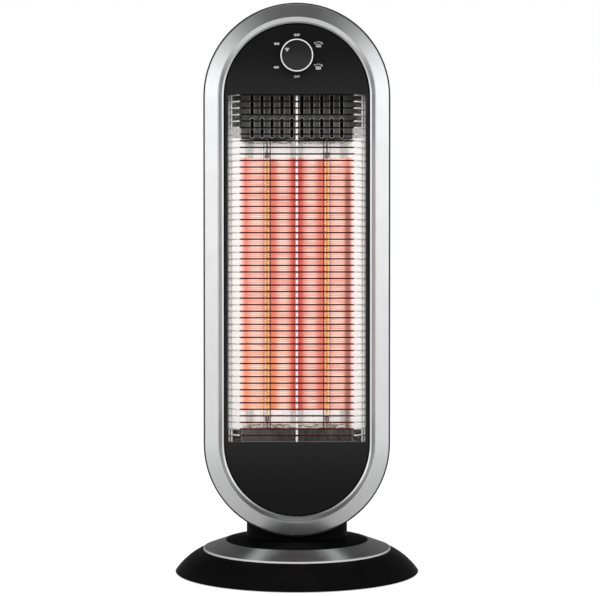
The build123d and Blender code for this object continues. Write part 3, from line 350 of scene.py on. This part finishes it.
panel_black = Finish("panel_black", (0.009, 0.009, 0.0093), 0.42).set(Specular_IOR_Level=0.18)
off_window = panel_black.off(panel_black.along("Z"), WINDOW_MIDDLE_Z)
painted_panel_light = panel_black.remap(off_window, PANEL_LIGHT_START, PANEL_LIGHT_END, smooth=True)
panel_grey = panel_black.blend(painted_panel_light, (0.015, 0.015, 0.0153), (0.0035, 0.0035, 0.0037))
painted_gap_shade = panel_black.remap(panel_black.along("Y"), GAP_SHADE_START, GAP_SHADE_END)
panel_black.join(panel_black.blend(painted_gap_shade, panel_grey, (0.0003, 0.0003, 0.0003)), "Base Color")
panel_black.wear(90.0, 0.03)
panel_black.grain(2400.0, 0.03 * MM)

# The knob: its dished face has a painted sheen, palest towards its foot
KNOB_HALF = 14.0 * MM

knob_black = Finish("knob_black", (0.013, 0.013, 0.0133), 0.42).set(Specular_IOR_Level=0.3)
painted_knob_sheen = knob_black.remap(
    knob_black.along("Z"), KNOB_Z + KNOB_HALF, KNOB_Z - KNOB_HALF, smooth=True
)
knob_grey = knob_black.blend(painted_knob_sheen, (0.007, 0.007, 0.0072), (0.021, 0.021, 0.0213))
knob_black.join(knob_grey, "Base Color")
knob_black.wear(200.0, 0.04)
knob_black.grain(3000.0, 0.03 * MM)

# Guard wires: painted highlights at the bends, painted dark reflection across the middle, and a
# painted dull red glow of the tubes below the upper plate
WIRE_BEND_X = 59.2 * MM
RED_GLOW_TOP = 427.5 * MM

painted_light_wire = Finish("painted_light_wire", (0.9, 0.9, 0.88), 0.2, 0.1)
wire_side = painted_light_wire.maths("ABSOLUTE", painted_light_wire.along("X"))
painted_bend_highlight = painted_light_wire.remap(
    wire_side, WIRE_BEND_X - 2.5 * MM, WIRE_BEND_X + 0.5 * MM, smooth=True
)
painted_red_glow = painted_light_wire.remap(painted_light_wire.along("Z"), RED_GLOW_TOP + 1.0 * MM, RED_GLOW_TOP - 1.0 * MM)
painted_dark_reflection = painted_light_wire.blend(painted_red_glow, (0.02, 0.015, 0.015), (0.2, 0.014, 0.01))
painted_light_wire.join(painted_light_wire.blend(painted_bend_highlight, painted_dark_reflection, (0.95, 0.95, 0.93)), "Base Color")
painted_light_wire.join(painted_light_wire.remap(painted_bend_highlight, 0.0, 1.0, 0.9, 0.1), "Metallic")
painted_light_wire.wear(400.0, 0.04)
painted_light_wire.grain(1800.0, 0.01 * MM)

# Quartz tubes: clear glass, with a painted dark line at the edges of the tube, most on the side of
# the ridge
quartz = Finish("quartz", (0.97, 0.98, 0.985), 0.02).set(Transmission_Weight=1.0, IOR=1.46)
tube_side = quartz.maths("ABSOLUTE", quartz.along("X"))
painted_edge_line = quartz.either(
    quartz.remap(tube_side, TUBE_INNER_X + 1.1 * MM, TUBE_INNER_X + 0.6 * MM),
    quartz.remap(tube_side, TUBE_OUTER_X - 1.2 * MM, TUBE_OUTER_X - 0.5 * MM, 0.0, 0.45),
)
quartz.join(quartz.blend(painted_edge_line, (0.97, 0.98, 0.985), (0.1, 0.02, 0.02)), "Base Color")

# Screening plates: dull sheet with pressed slots, streaked and specked, with painted shade towards
# the top and at the upper plate's foot, lighter towards the left end of the lower plate, and a
# painted highlight on the slots' raised lips
LIP_FRONT_Y = -11.95 * MM
TOP_SHADE_START = 460.0 * MM
TOP_SHADE_END = 485.0 * MM
BETWEEN_PLATES = 305.0 * MM

plate_steel = Finish("plate_steel", (0.085, 0.088, 0.088), 0.45, 0.35)
streaks = plate_steel.noise(1.0, 4.0, plate_steel.stretched((190.0, 60.0, 55.0)))
stain = plate_steel.remap(streaks, 0.3, 0.7)
tarnish_and_shade = plate_steel.blend(stain, (0.055, 0.057, 0.055), (0.2, 0.205, 0.2))
speck = plate_steel.remap(plate_steel.noise(1500.0, 3.0), 0.4, 0.62, 0.0, 0.55)
tarnish_and_shade = plate_steel.blend(speck, tarnish_and_shade, (0.03, 0.028, 0.026))
plate_height = plate_steel.along("Z")
top_shade = plate_steel.remap(plate_height, TOP_SHADE_START, TOP_SHADE_END, 0.0, 0.4)
tarnish_and_shade = plate_steel.blend(top_shade, tarnish_and_shade, (0.05, 0.052, 0.051))
foot = plate_steel.remap(plate_height, UPPER_PLATE_FOOT + 2.2 * MM, UPPER_PLATE_FOOT + 1.0 * MM)
lower_plate = plate_steel.remap(plate_height, BETWEEN_PLATES + 5.0 * MM, BETWEEN_PLATES - 5.0 * MM)
foot_shade = plate_steel.maths("SUBTRACT", foot, lower_plate)
tarnish_and_shade = plate_steel.blend(foot_shade, tarnish_and_shade, (0.035, 0.027, 0.024))
left_end = plate_steel.remap(plate_steel.along("X"), -20.0 * MM, -50.0 * MM, 0.0, 0.4)
tarnish_and_shade = plate_steel.blend(plate_steel.both(lower_plate, left_end), tarnish_and_shade, (0.26, 0.26, 0.25))
# Painted highlight on the slots' raised lips
lip = plate_steel.remap(plate_steel.along("Y"), LIP_FRONT_Y + LIP_EDGE, LIP_FRONT_Y - LIP_EDGE)
plate_steel.join(plate_steel.blend(lip, tarnish_and_shade, (0.4, 0.4, 0.39)), "Base Color")
plate_steel.wear(120.0, 0.1)
plate_steel.grain(1200.0, 0.04 * MM)

# The reflector: rolled sheet whose front side alone glows with painted light: the tubes' glow on the
# lit stretch, and a fainter glow in its own colour elsewhere
WING_FOLD_X = 57.2 * MM

trough_sheet = Finish("trough_sheet", (0.92, 0.92, 0.91), 0.28, 0.25)
rolled = trough_sheet.stretched((260.0, 260.0, 12.0))
across = trough_sheet.maths("ABSOLUTE", trough_sheet.along("X"))
height = trough_sheet.along("Z")
facing_out = trough_sheet.node("ShaderNodeSeparateXYZ", Vector=trough_sheet.normal).outputs["Y"]
front_side = trough_sheet.remap(facing_out, 0.02, -0.02)
band, both, either = trough_sheet.band, trough_sheet.both, trough_sheet.either

# On the lit stretch the painted glow is red by the ridge and salmon beyond it
GLOW_LOW = 167.5 * MM
GLOW_HIGH = 428.3 * MM
GLOW_SIDE = 57.5 * MM

lit_height = band(height, (GLOW_LOW + GLOW_HIGH) / 2, (GLOW_HIGH - GLOW_LOW) / 2, 1.5 * MM)
lit_width = trough_sheet.remap(across, GLOW_SIDE + 4.5 * MM, GLOW_SIDE - 5.5 * MM, smooth=True)
lit = both(lit_height, lit_width)
ridge_red = trough_sheet.remap(across, 8.5 * MM, 3.5 * MM, smooth=True)
left_foot = both(
    trough_sheet.remap(height, 300.0 * MM, 200.0 * MM, smooth=True),
    trough_sheet.remap(trough_sheet.along("X"), 4.0 * MM, -12.0 * MM, smooth=True),
)
warm = trough_sheet.blend(left_foot, (0.6, 0.17, 0.12), (0.66, 0.22, 0.09))
deep = trough_sheet.blend(ridge_red, warm, (0.41, 0.048, 0.045))

# Painted reflections: the room as pale streaks down both flutes, crossed by fine dark lines for the
# wires
STREAK_PITCH = 6.812 * MM
STREAK_START = 317.64 * MM
NEAR_STREAK_X = 14.5 * MM
FAR_STREAK_X = 42.5 * MM
HAIRLINES = (0.36, 0.66)

from_start = trough_sheet.maths("SUBTRACT", height, STREAK_START)
phase = trough_sheet.maths("FRACT", trough_sheet.maths("DIVIDE", from_start, STREAK_PITCH))
hairline = either(*[band(phase, place, 0.04, 0.08) for place in HAIRLINES])
near_streak = band(across, NEAR_STREAK_X, 1.2 * MM, 9.2 * MM)
far_streak = band(across, FAR_STREAK_X, 1.6 * MM, 11.0 * MM)
patches = trough_sheet.noise(1.0, 2.0, trough_sheet.stretched((35.0, 35.0, 230.0)))
patch = trough_sheet.remap(patches, 0.3, 0.7, 0.55, 1.2)
pale_share = both(trough_sheet.maths("ADD", near_streak, far_streak), patch)
pale_share = both(pale_share, trough_sheet.remap(hairline, 0.0, 1.0, 1.0, 0.3))
glow_colour = trough_sheet.blend(pale_share, deep, (0.82, 0.77, 0.68))
# Painted shadow lines beside the ridge, where the middle upright stands
painted_ridge_shadow = both(band(across, 2.4 * MM, 0.4 * MM, 0.6 * MM), 0.55)
glow_colour = trough_sheet.blend(painted_ridge_shadow, glow_colour, (0.16, 0.02, 0.02))

# Painted reflections of the casing as grey bands on the unlit sheet, and brown bands beside the
# plates
grey_share = either(
    both(trough_sheet.remap(across, 9.0 * MM, 5.0 * MM, smooth=True), 0.6),
    both(band(across, 49.5 * MM, 2.0 * MM, 5.0 * MM), 0.6),
)
waves = trough_sheet.noise(1.0, 3.0, trough_sheet.stretched((160.0, 160.0, 700.0)))
ripple = trough_sheet.remap(waves, 0.4, 0.6)
by_plates = either(
    trough_sheet.remap(height, UPPER_PLATE_FOOT - 4.2 * MM, UPPER_PLATE_FOOT - 3.0 * MM),
    trough_sheet.remap(height, LOWER_PLATE_HEAD + 4.0 * MM, LOWER_PLATE_HEAD + 3.0 * MM),
)
in_trough = trough_sheet.remap(across, WING_FOLD_X, WING_FOLD_X - 4.0 * MM)
brown = trough_sheet.blend(ripple, (0.2, 0.16, 0.13), (0.75, 0.72, 0.66))
bare = trough_sheet.blend(grey_share, (0.99, 0.985, 0.96), (0.3, 0.3, 0.28))
bare = trough_sheet.blend(both(by_plates, in_trough), bare, brown)

# Painted shade: the wings are darkened beside the plates, and the sheet is painted black behind them
WING_SHADE_Z = 459.3 * MM

on_wing = trough_sheet.remap(across, WING_FOLD_X - 0.1 * MM, WING_FOLD_X + 0.1 * MM)
painted_wing_shade = trough_sheet.blend(ripple, (0.03, 0.03, 0.029), (0.17, 0.17, 0.16))
upper_wing = trough_sheet.remap(height, WING_SHADE_Z, WING_SHADE_Z + 1.0 * MM)
above_foot = trough_sheet.remap(height, UPPER_PLATE_FOOT, UPPER_PLATE_FOOT + 1.0 * MM)
lower_wing = trough_sheet.remap(height, LOWER_PLATE_HEAD + 0.5 * MM, LOWER_PLATE_HEAD - 0.5 * MM)
dull = both(on_wing, either(upper_wing, lower_wing))
half_shaded = both(above_foot, 0.6)
behind_plate = both(trough_sheet.maths("SUBTRACT", 1.0, on_wing), above_foot)
shaded = either(either(dull, behind_plate), half_shaded)
open_sheet = trough_sheet.maths("SUBTRACT", 1.0, shaded)

# Down the right side a dark band is painted, a reflection of the dark edge of the window
painted_edge_reflection = both(
    both(band(trough_sheet.along("X"), 52.8 * MM, 1.0 * MM, 3.6 * MM), 0.8),
    trough_sheet.remap(height, 430.0 * MM, 400.0 * MM, smooth=True),
)

tinted = trough_sheet.blend(lit, bare, (0.35, 0.08, 0.06))
tinted = trough_sheet.blend(painted_edge_reflection, tinted, (0.2, 0.12, 0.105))
sheet_colour = trough_sheet.blend(half_shaded, tinted, (0.2, 0.2, 0.19))
sheet_colour = trough_sheet.blend(dull, sheet_colour, painted_wing_shade)
sheet_colour = trough_sheet.blend(behind_plate, sheet_colour, (0.005, 0.005, 0.005))
trough_sheet.join(trough_sheet.blend(front_side, (0.12, 0.12, 0.12), sheet_colour), "Base Color")
painted_glow = trough_sheet.blend(lit, bare, glow_colour)
trough_sheet.join(trough_sheet.blend(painted_edge_reflection, painted_glow, (0.12, 0.06, 0.05)), "Emission Color")
painted_glow_level = trough_sheet.remap(lit, 0.0, 1.0, 0.34, 1.0)
trough_sheet.join(both(both(painted_glow_level, open_sheet), front_side), "Emission Strength")
trough_sheet.wear(1.0, 0.03, rolled)
trough_sheet.grain(1.0, 0.02 * MM, rolled)

# Carbon at orange heat: each turn is cream at its sides and brown across its front
hot_carbon = Finish("hot_carbon", (0.05, 0.03, 0.02), 0.8)
from_axis = hot_carbon.off(hot_carbon.maths("ABSOLUTE", hot_carbon.along("X")), TUBE_X)
turn_side = hot_carbon.remap(from_axis, 0.7 * MM, 1.4 * MM, smooth=True)
flicker = hot_carbon.remap(hot_carbon.noise(900.0, 2.0), 0.35, 0.65)
turn_front = hot_carbon.blend(flicker, (0.5, 0.13, 0.01), (0.95, 0.42, 0.04))
hot_carbon.join(hot_carbon.blend(turn_side, turn_front, (1.0, 0.78, 0.36)), "Emission Color")
hot_carbon.set(Emission_Strength=1.05)

# Which finish goes on which nodes
silver_lacquer.put_on("front_bezel")
ring_lacquer.put_on("base_trim_ring")
panel_black.put_on("front_panel")
shell_black.put_on("rear_shell", "handle_cup")
base_black.put_on("base_cover")
table_black.put_on("turntable")
knob_black.put_on("control_knob")
bright_wire.put_on("grille_uprights")
painted_light_wire.put_on("grille_cross_wires")
trough_sheet.put_on("reflector")
plate_steel.put_on("upper_slotted_plate", "lower_plate")
dull_bracket.put_on("upper_tube_bracket", "lower_tube_bracket")
lead_steel.put_on("filament_leads")
zinc_steel.put_on(
    "switch_nut", "switch_shaft",
    "shell_screws", "reflector_screws", "neck_screws", "gear_screws", "motor_screws", "base_screws",
    "motor_shaft", "swing_motor", "bottom_plate", "tip_spring",
)
steatite.put_on("lower_end_caps")
painted_shade_steatite.put_on("upper_end_caps")
quartz.put_on("quartz_tube_left", "quartz_tube_right")
hot_carbon.put_on("carbon_filament_left", "carbon_filament_right")
white_mark.put_on("knob_trim_ring")
dim_mark.put_on("knob_pointer")
plain_moulding.put_on("switch_body", "thermal_cutout", "tip_switch_housing", "tip_microswitch")
white_nylon.put_on("terminal_block", "swing_gear", "drive_pinion", "swivel_bush", "tip_plunger")
rubber.put_on("rubber_feet", "cord_gland")


# Carbon filaments, wound fine

FILAMENT_TURNS = 110
FILAMENT_WIRE = 0.42 * MM
FILAMENT_SIDES = 6
STEPS_IN_A_TURN = 14

for side in ("left", "right"):
    low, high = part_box(f"carbon_filament_{side}")
    middle = (low + high) / 2
    radius = (high.x - low.x) / 2 - FILAMENT_WIRE
    bpy.ops.object.select_all(action="DESELECT")
    bpy.ops.mesh.primitive_circle_add(
        vertices=FILAMENT_SIDES,
        radius=FILAMENT_WIRE,
        location=(middle.x, middle.y, low.z + FILAMENT_WIRE),
        rotation=(math.radians(90), 0, 0),
    )
    coil = bpy.context.object
    only(coil)
    bpy.ops.object.transform_apply(location=False, rotation=True, scale=False)
    bpy.ops.object.mode_set(mode="EDIT")
    bpy.ops.mesh.select_all(action="SELECT")
    bpy.ops.transform.translate(value=(radius, 0, 0))
    bpy.ops.object.mode_set(mode="OBJECT")
    screw = coil.modifiers.new("winding", "SCREW")
    screw.axis = "Z"
    screw.iterations = FILAMENT_TURNS
    screw.screw_offset = (high.z - low.z - 2 * FILAMENT_WIRE) / FILAMENT_TURNS
    screw.steps = screw.render_steps = STEPS_IN_A_TURN
    bpy.ops.object.modifier_apply(modifier="winding")
    settle(coil, f"wound_filament_{side}")
    hot_carbon.put_on(coil)
    bpy.ops.object.shade_smooth()
    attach(coil, "tower")
    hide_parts(f"carbon_filament_{side}")


# Printed marks round the knob: plain words and numbers, and a loop of two arrows for the swing

MARK_FACE_Y = PANEL_FACE_Y - 0.05 * MM
MARK_HEIGHT = 2.2 * MM
CAPITAL_SHARE = 0.72
LETTER_SPACING = 1.15
LETTER_BOLDNESS = 0.06 * MM
LOOP_WIDTH = 7.8 * MM
LOOP_HEIGHT = 2.8 * MM
LOOP_LINE = 0.32 * MM
LOOP_HEAD = 0.7 * MM
LOOP_GAP = 0.3
LOOP_POINTS = 40


def print_on_panel(mark, name, x, above_knob):
    """Lay a flat mark, drawn in X and Y, on the front panel, at millimetres from the knob."""
    mark.location = (x * MM, MARK_FACE_Y, KNOB_Z + above_knob * MM)
    mark.rotation_euler = (math.radians(90), 0, 0)
    white_mark.put_on(mark)
    settle(mark, name)
    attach(mark, "tower")


def print_word(word, name, x, above_knob):
    """A word or number in flat letters."""
    bpy.ops.object.select_all(action="DESELECT")
    bpy.ops.object.text_add(location=(0, 0, 0))
    mark = bpy.context.object
    mark.data.body = word
    mark.data.align_x = "CENTER"
    mark.data.align_y = "CENTER"
    mark.data.size = MARK_HEIGHT / CAPITAL_SHARE
    mark.data.offset = LETTER_BOLDNESS
    mark.data.space_character = LETTER_SPACING
    bpy.ops.object.convert(target="MESH")
    print_on_panel(bpy.context.object, name, x, above_knob)


def arrow_head(place, turn):
    """A small flat triangle that points along its turn."""
    bpy.ops.object.select_all(action="DESELECT")
    bpy.ops.mesh.primitive_circle_add(
        vertices=3, radius=LOOP_HEAD, fill_type="NGON", location=place, rotation=(0, 0, turn)
    )
    return bpy.context.object


def print_loop(name, x, above_knob):
    """Two flat arrows that chase each other round an oval."""
    heads = [
        arrow_head((side * LOOP_WIDTH / 2, -side * LOOP_HEAD / 2, 0), math.radians(turn))
        for side, turn in ((-1, 0), (1, 180))
    ]
    bpy.ops.object.select_all(action="DESELECT")
    bpy.ops.mesh.primitive_circle_add(vertices=LOOP_POINTS, radius=0.5, fill_type="NGON")
    loop = bpy.context.object
    loop.scale = (LOOP_WIDTH, LOOP_HEIGHT, 1)
    only(loop)
    bpy.ops.object.transform_apply(location=False, rotation=False, scale=True)
    bpy.ops.object.mode_set(mode="EDIT")
    bpy.ops.mesh.select_all(action="SELECT")
    bpy.ops.mesh.inset(thickness=LOOP_LINE)
    bpy.ops.mesh.delete(type="FACE")
    bpy.ops.object.mode_set(mode="OBJECT")
    for face in loop.data.polygons:
        middle = face.center
        face.select = middle.x * middle.y < 0 and abs(middle.y) < LOOP_HEIGHT * LOOP_GAP
    bpy.ops.object.mode_set(mode="EDIT")
    bpy.ops.mesh.delete(type="FACE")
    bpy.ops.object.mode_set(mode="OBJECT")
    only(loop)
    for head in heads:
        head.select_set(True)
    bpy.ops.object.join()
    print_on_panel(loop, name, x, above_knob)


print_word("OFF", "mark_off_upper", 0.0, 21.7)
print_word("OFF", "mark_off_lower", 0.0, -20.3)
print_word("800", "mark_high_left", -20.4, 12.9)
print_word("400", "mark_low_left", -20.8, -10.9)
print_loop("mark_swing_upper", 21.8, 13.6)
print_word("400", "mark_low_right", 21.8, 10.4)
print_loop("mark_swing_lower", 21.8, -8.8)
print_word("800", "mark_high_right", 21.8, -12.0)


# Studio: camera, lamps, world and floor

PHOTO_WIDTH_PX = 600.0
FOCAL_PX = 1734.0
HORIZON_ABOVE_MIDDLE_PX = 31.0
SENSOR_WIDTH = 36.0
CAMERA_PLACE = (0.0032, -1.8, 0.316)
HEATER_MIDDLE = (0, 0, 0.3)
WHITE = (1.0, 1.0, 1.0, 1.0)

camera_data = bpy.data.cameras.new("studio_camera")
camera_data.sensor_fit = "HORIZONTAL"
camera_data.sensor_width = SENSOR_WIDTH
camera_data.lens = SENSOR_WIDTH * FOCAL_PX / PHOTO_WIDTH_PX
camera = bpy.data.objects.new("studio_camera", camera_data)
camera.location = CAMERA_PLACE
pitch = math.atan(HORIZON_ABOVE_MIDDLE_PX / FOCAL_PX)
camera.rotation_euler = (math.radians(90) - pitch, 0.0, 0.0)
bpy.context.scene.collection.objects.link(camera)
bpy.context.scene.camera = camera


def lamp(name, place, size, radiance, in_gloss=True):
    """A rectangular softbox aimed at the heater, with a radiance where 1 shows as white."""
    data = bpy.data.lights.new(name, "AREA")
    data.shape = "RECTANGLE"
    data.size, data.size_y = size
    data.energy = radiance * math.pi * size[0] * size[1]
    thing = bpy.data.objects.new(name, data)
    thing.location = place
    towards = Vector(HEATER_MIDDLE) - Vector(place)
    thing.rotation_euler = towards.to_track_quat("-Z", "Y").to_euler()
    thing.visible_glossy = in_gloss
    bpy.context.scene.collection.objects.link(thing)


lamp("front_softbox", (0, -2.6, 1.5), (2.4, 1.4), 4.6, in_gloss=False)
lamp("overhead_softbox", (0, 0.0, 2.2), (1.2, 0.9), 0.5)

world = bpy.data.worlds.new("studio")
bpy.context.scene.world = world
world.use_nodes = True
tree = world.node_tree
links = tree.links


def studio_node(kind, **values):
    made = tree.nodes.new(kind)
    for key, value in values.items():
        setattr(made, key, value)
    return made


def studio_maths(operation, first, second):
    made = studio_node("ShaderNodeMath", operation=operation)
    for index, value in enumerate((first, second)):
        if hasattr(value, "is_output"):
            links.new(value, made.inputs[index])
        else:
            made.inputs[index].default_value = value
    return made.outputs[0]


def studio_ramp(value, low, high, out_low, out_high):
    made = studio_node("ShaderNodeMapRange", interpolation_type="SMOOTHSTEP")
    links.new(value, made.inputs["Value"])
    for key, number in (
        ("From Min", low), ("From Max", high), ("To Min", out_low), ("To Max", out_high)
    ):
        made.inputs[key].default_value = number
    return made.outputs["Result"]


# Mirrored in gloss, the room is dark behind the camera, bright at both sides and dimmer at the back
CEILING_START = 0.15
CEILING_END = 0.76
CEILING_LEVEL = 0.07
PLAIN_LEVEL = 0.5

sky = studio_node("ShaderNodeTexCoord").outputs["Generated"]
split = studio_node("ShaderNodeSeparateXYZ")
links.new(sky, split.inputs[0])
level_squared = studio_maths(
    "ADD",
    studio_maths("MULTIPLY", split.outputs["X"], split.outputs["X"]),
    studio_maths("MULTIPLY", split.outputs["Y"], split.outputs["Y"]),
)
level_length = studio_maths("SQRT", level_squared, 0.0)
facing = studio_maths("DIVIDE", split.outputs["Y"], level_length)
side_panels = studio_maths(
    "MULTIPLY",
    studio_ramp(facing, -0.98, -0.80, 0.04, 2.0),
    studio_ramp(facing, -0.45, 0.05, 1.0, 0.2),
)
side_panels = studio_maths("MULTIPLY", side_panels, studio_ramp(facing, 0.35, 0.8, 1.0, 0.35))
up_the_room = studio_ramp(split.outputs["Z"], CEILING_START, CEILING_END, 1.0, CEILING_LEVEL)
gloss_level = studio_maths("MULTIPLY", side_panels, up_the_room)

path = studio_node("ShaderNodeLightPath").outputs
in_gloss = studio_maths("MAXIMUM", path["Is Glossy Ray"], path["Is Transmission Ray"])
camera_level = path["Is Camera Ray"]
gloss_part = studio_maths("MULTIPLY", in_gloss, gloss_level)
plain = studio_maths("SUBTRACT", 1.0, studio_maths("MAXIMUM", camera_level, in_gloss))
plain_part = studio_maths("MULTIPLY", plain, PLAIN_LEVEL)
total = studio_maths("ADD", studio_maths("ADD", camera_level, gloss_part), plain_part)
tree.nodes["Background"].inputs["Color"].default_value = WHITE
links.new(total, tree.nodes["Background"].inputs["Strength"])

# The floor: pale, and nearly white to the camera while it keeps the heater's shadow
FLOOR_SIZE = 30.0
FLOOR_GREY = 0.82
FLOOR_LIFT = 0.62

bpy.ops.object.select_all(action="DESELECT")
bpy.ops.mesh.primitive_plane_add(size=FLOOR_SIZE, location=(0, 0, 0))
floor = bpy.context.object
floor.name = "studio_floor"
floor_paint = bpy.data.materials.new("floor_paint")
floor_paint.use_nodes = True
tree = floor_paint.node_tree
links = tree.links
shader = tree.nodes["Principled BSDF"]
shader.inputs["Base Color"].default_value = (FLOOR_GREY, FLOOR_GREY, FLOOR_GREY, 1)
shader.inputs["Roughness"].default_value = 0.9
shader.inputs["Specular IOR Level"].default_value = 0.0
path = studio_node("ShaderNodeLightPath").outputs
shader.inputs["Emission Color"].default_value = WHITE
lift = studio_maths("MULTIPLY", path["Is Camera Ray"], FLOOR_LIFT)
links.new(lift, shader.inputs["Emission Strength"])
floor.data.materials.append(floor_paint)

bpy.context.scene.view_settings.view_transform = "Standard"
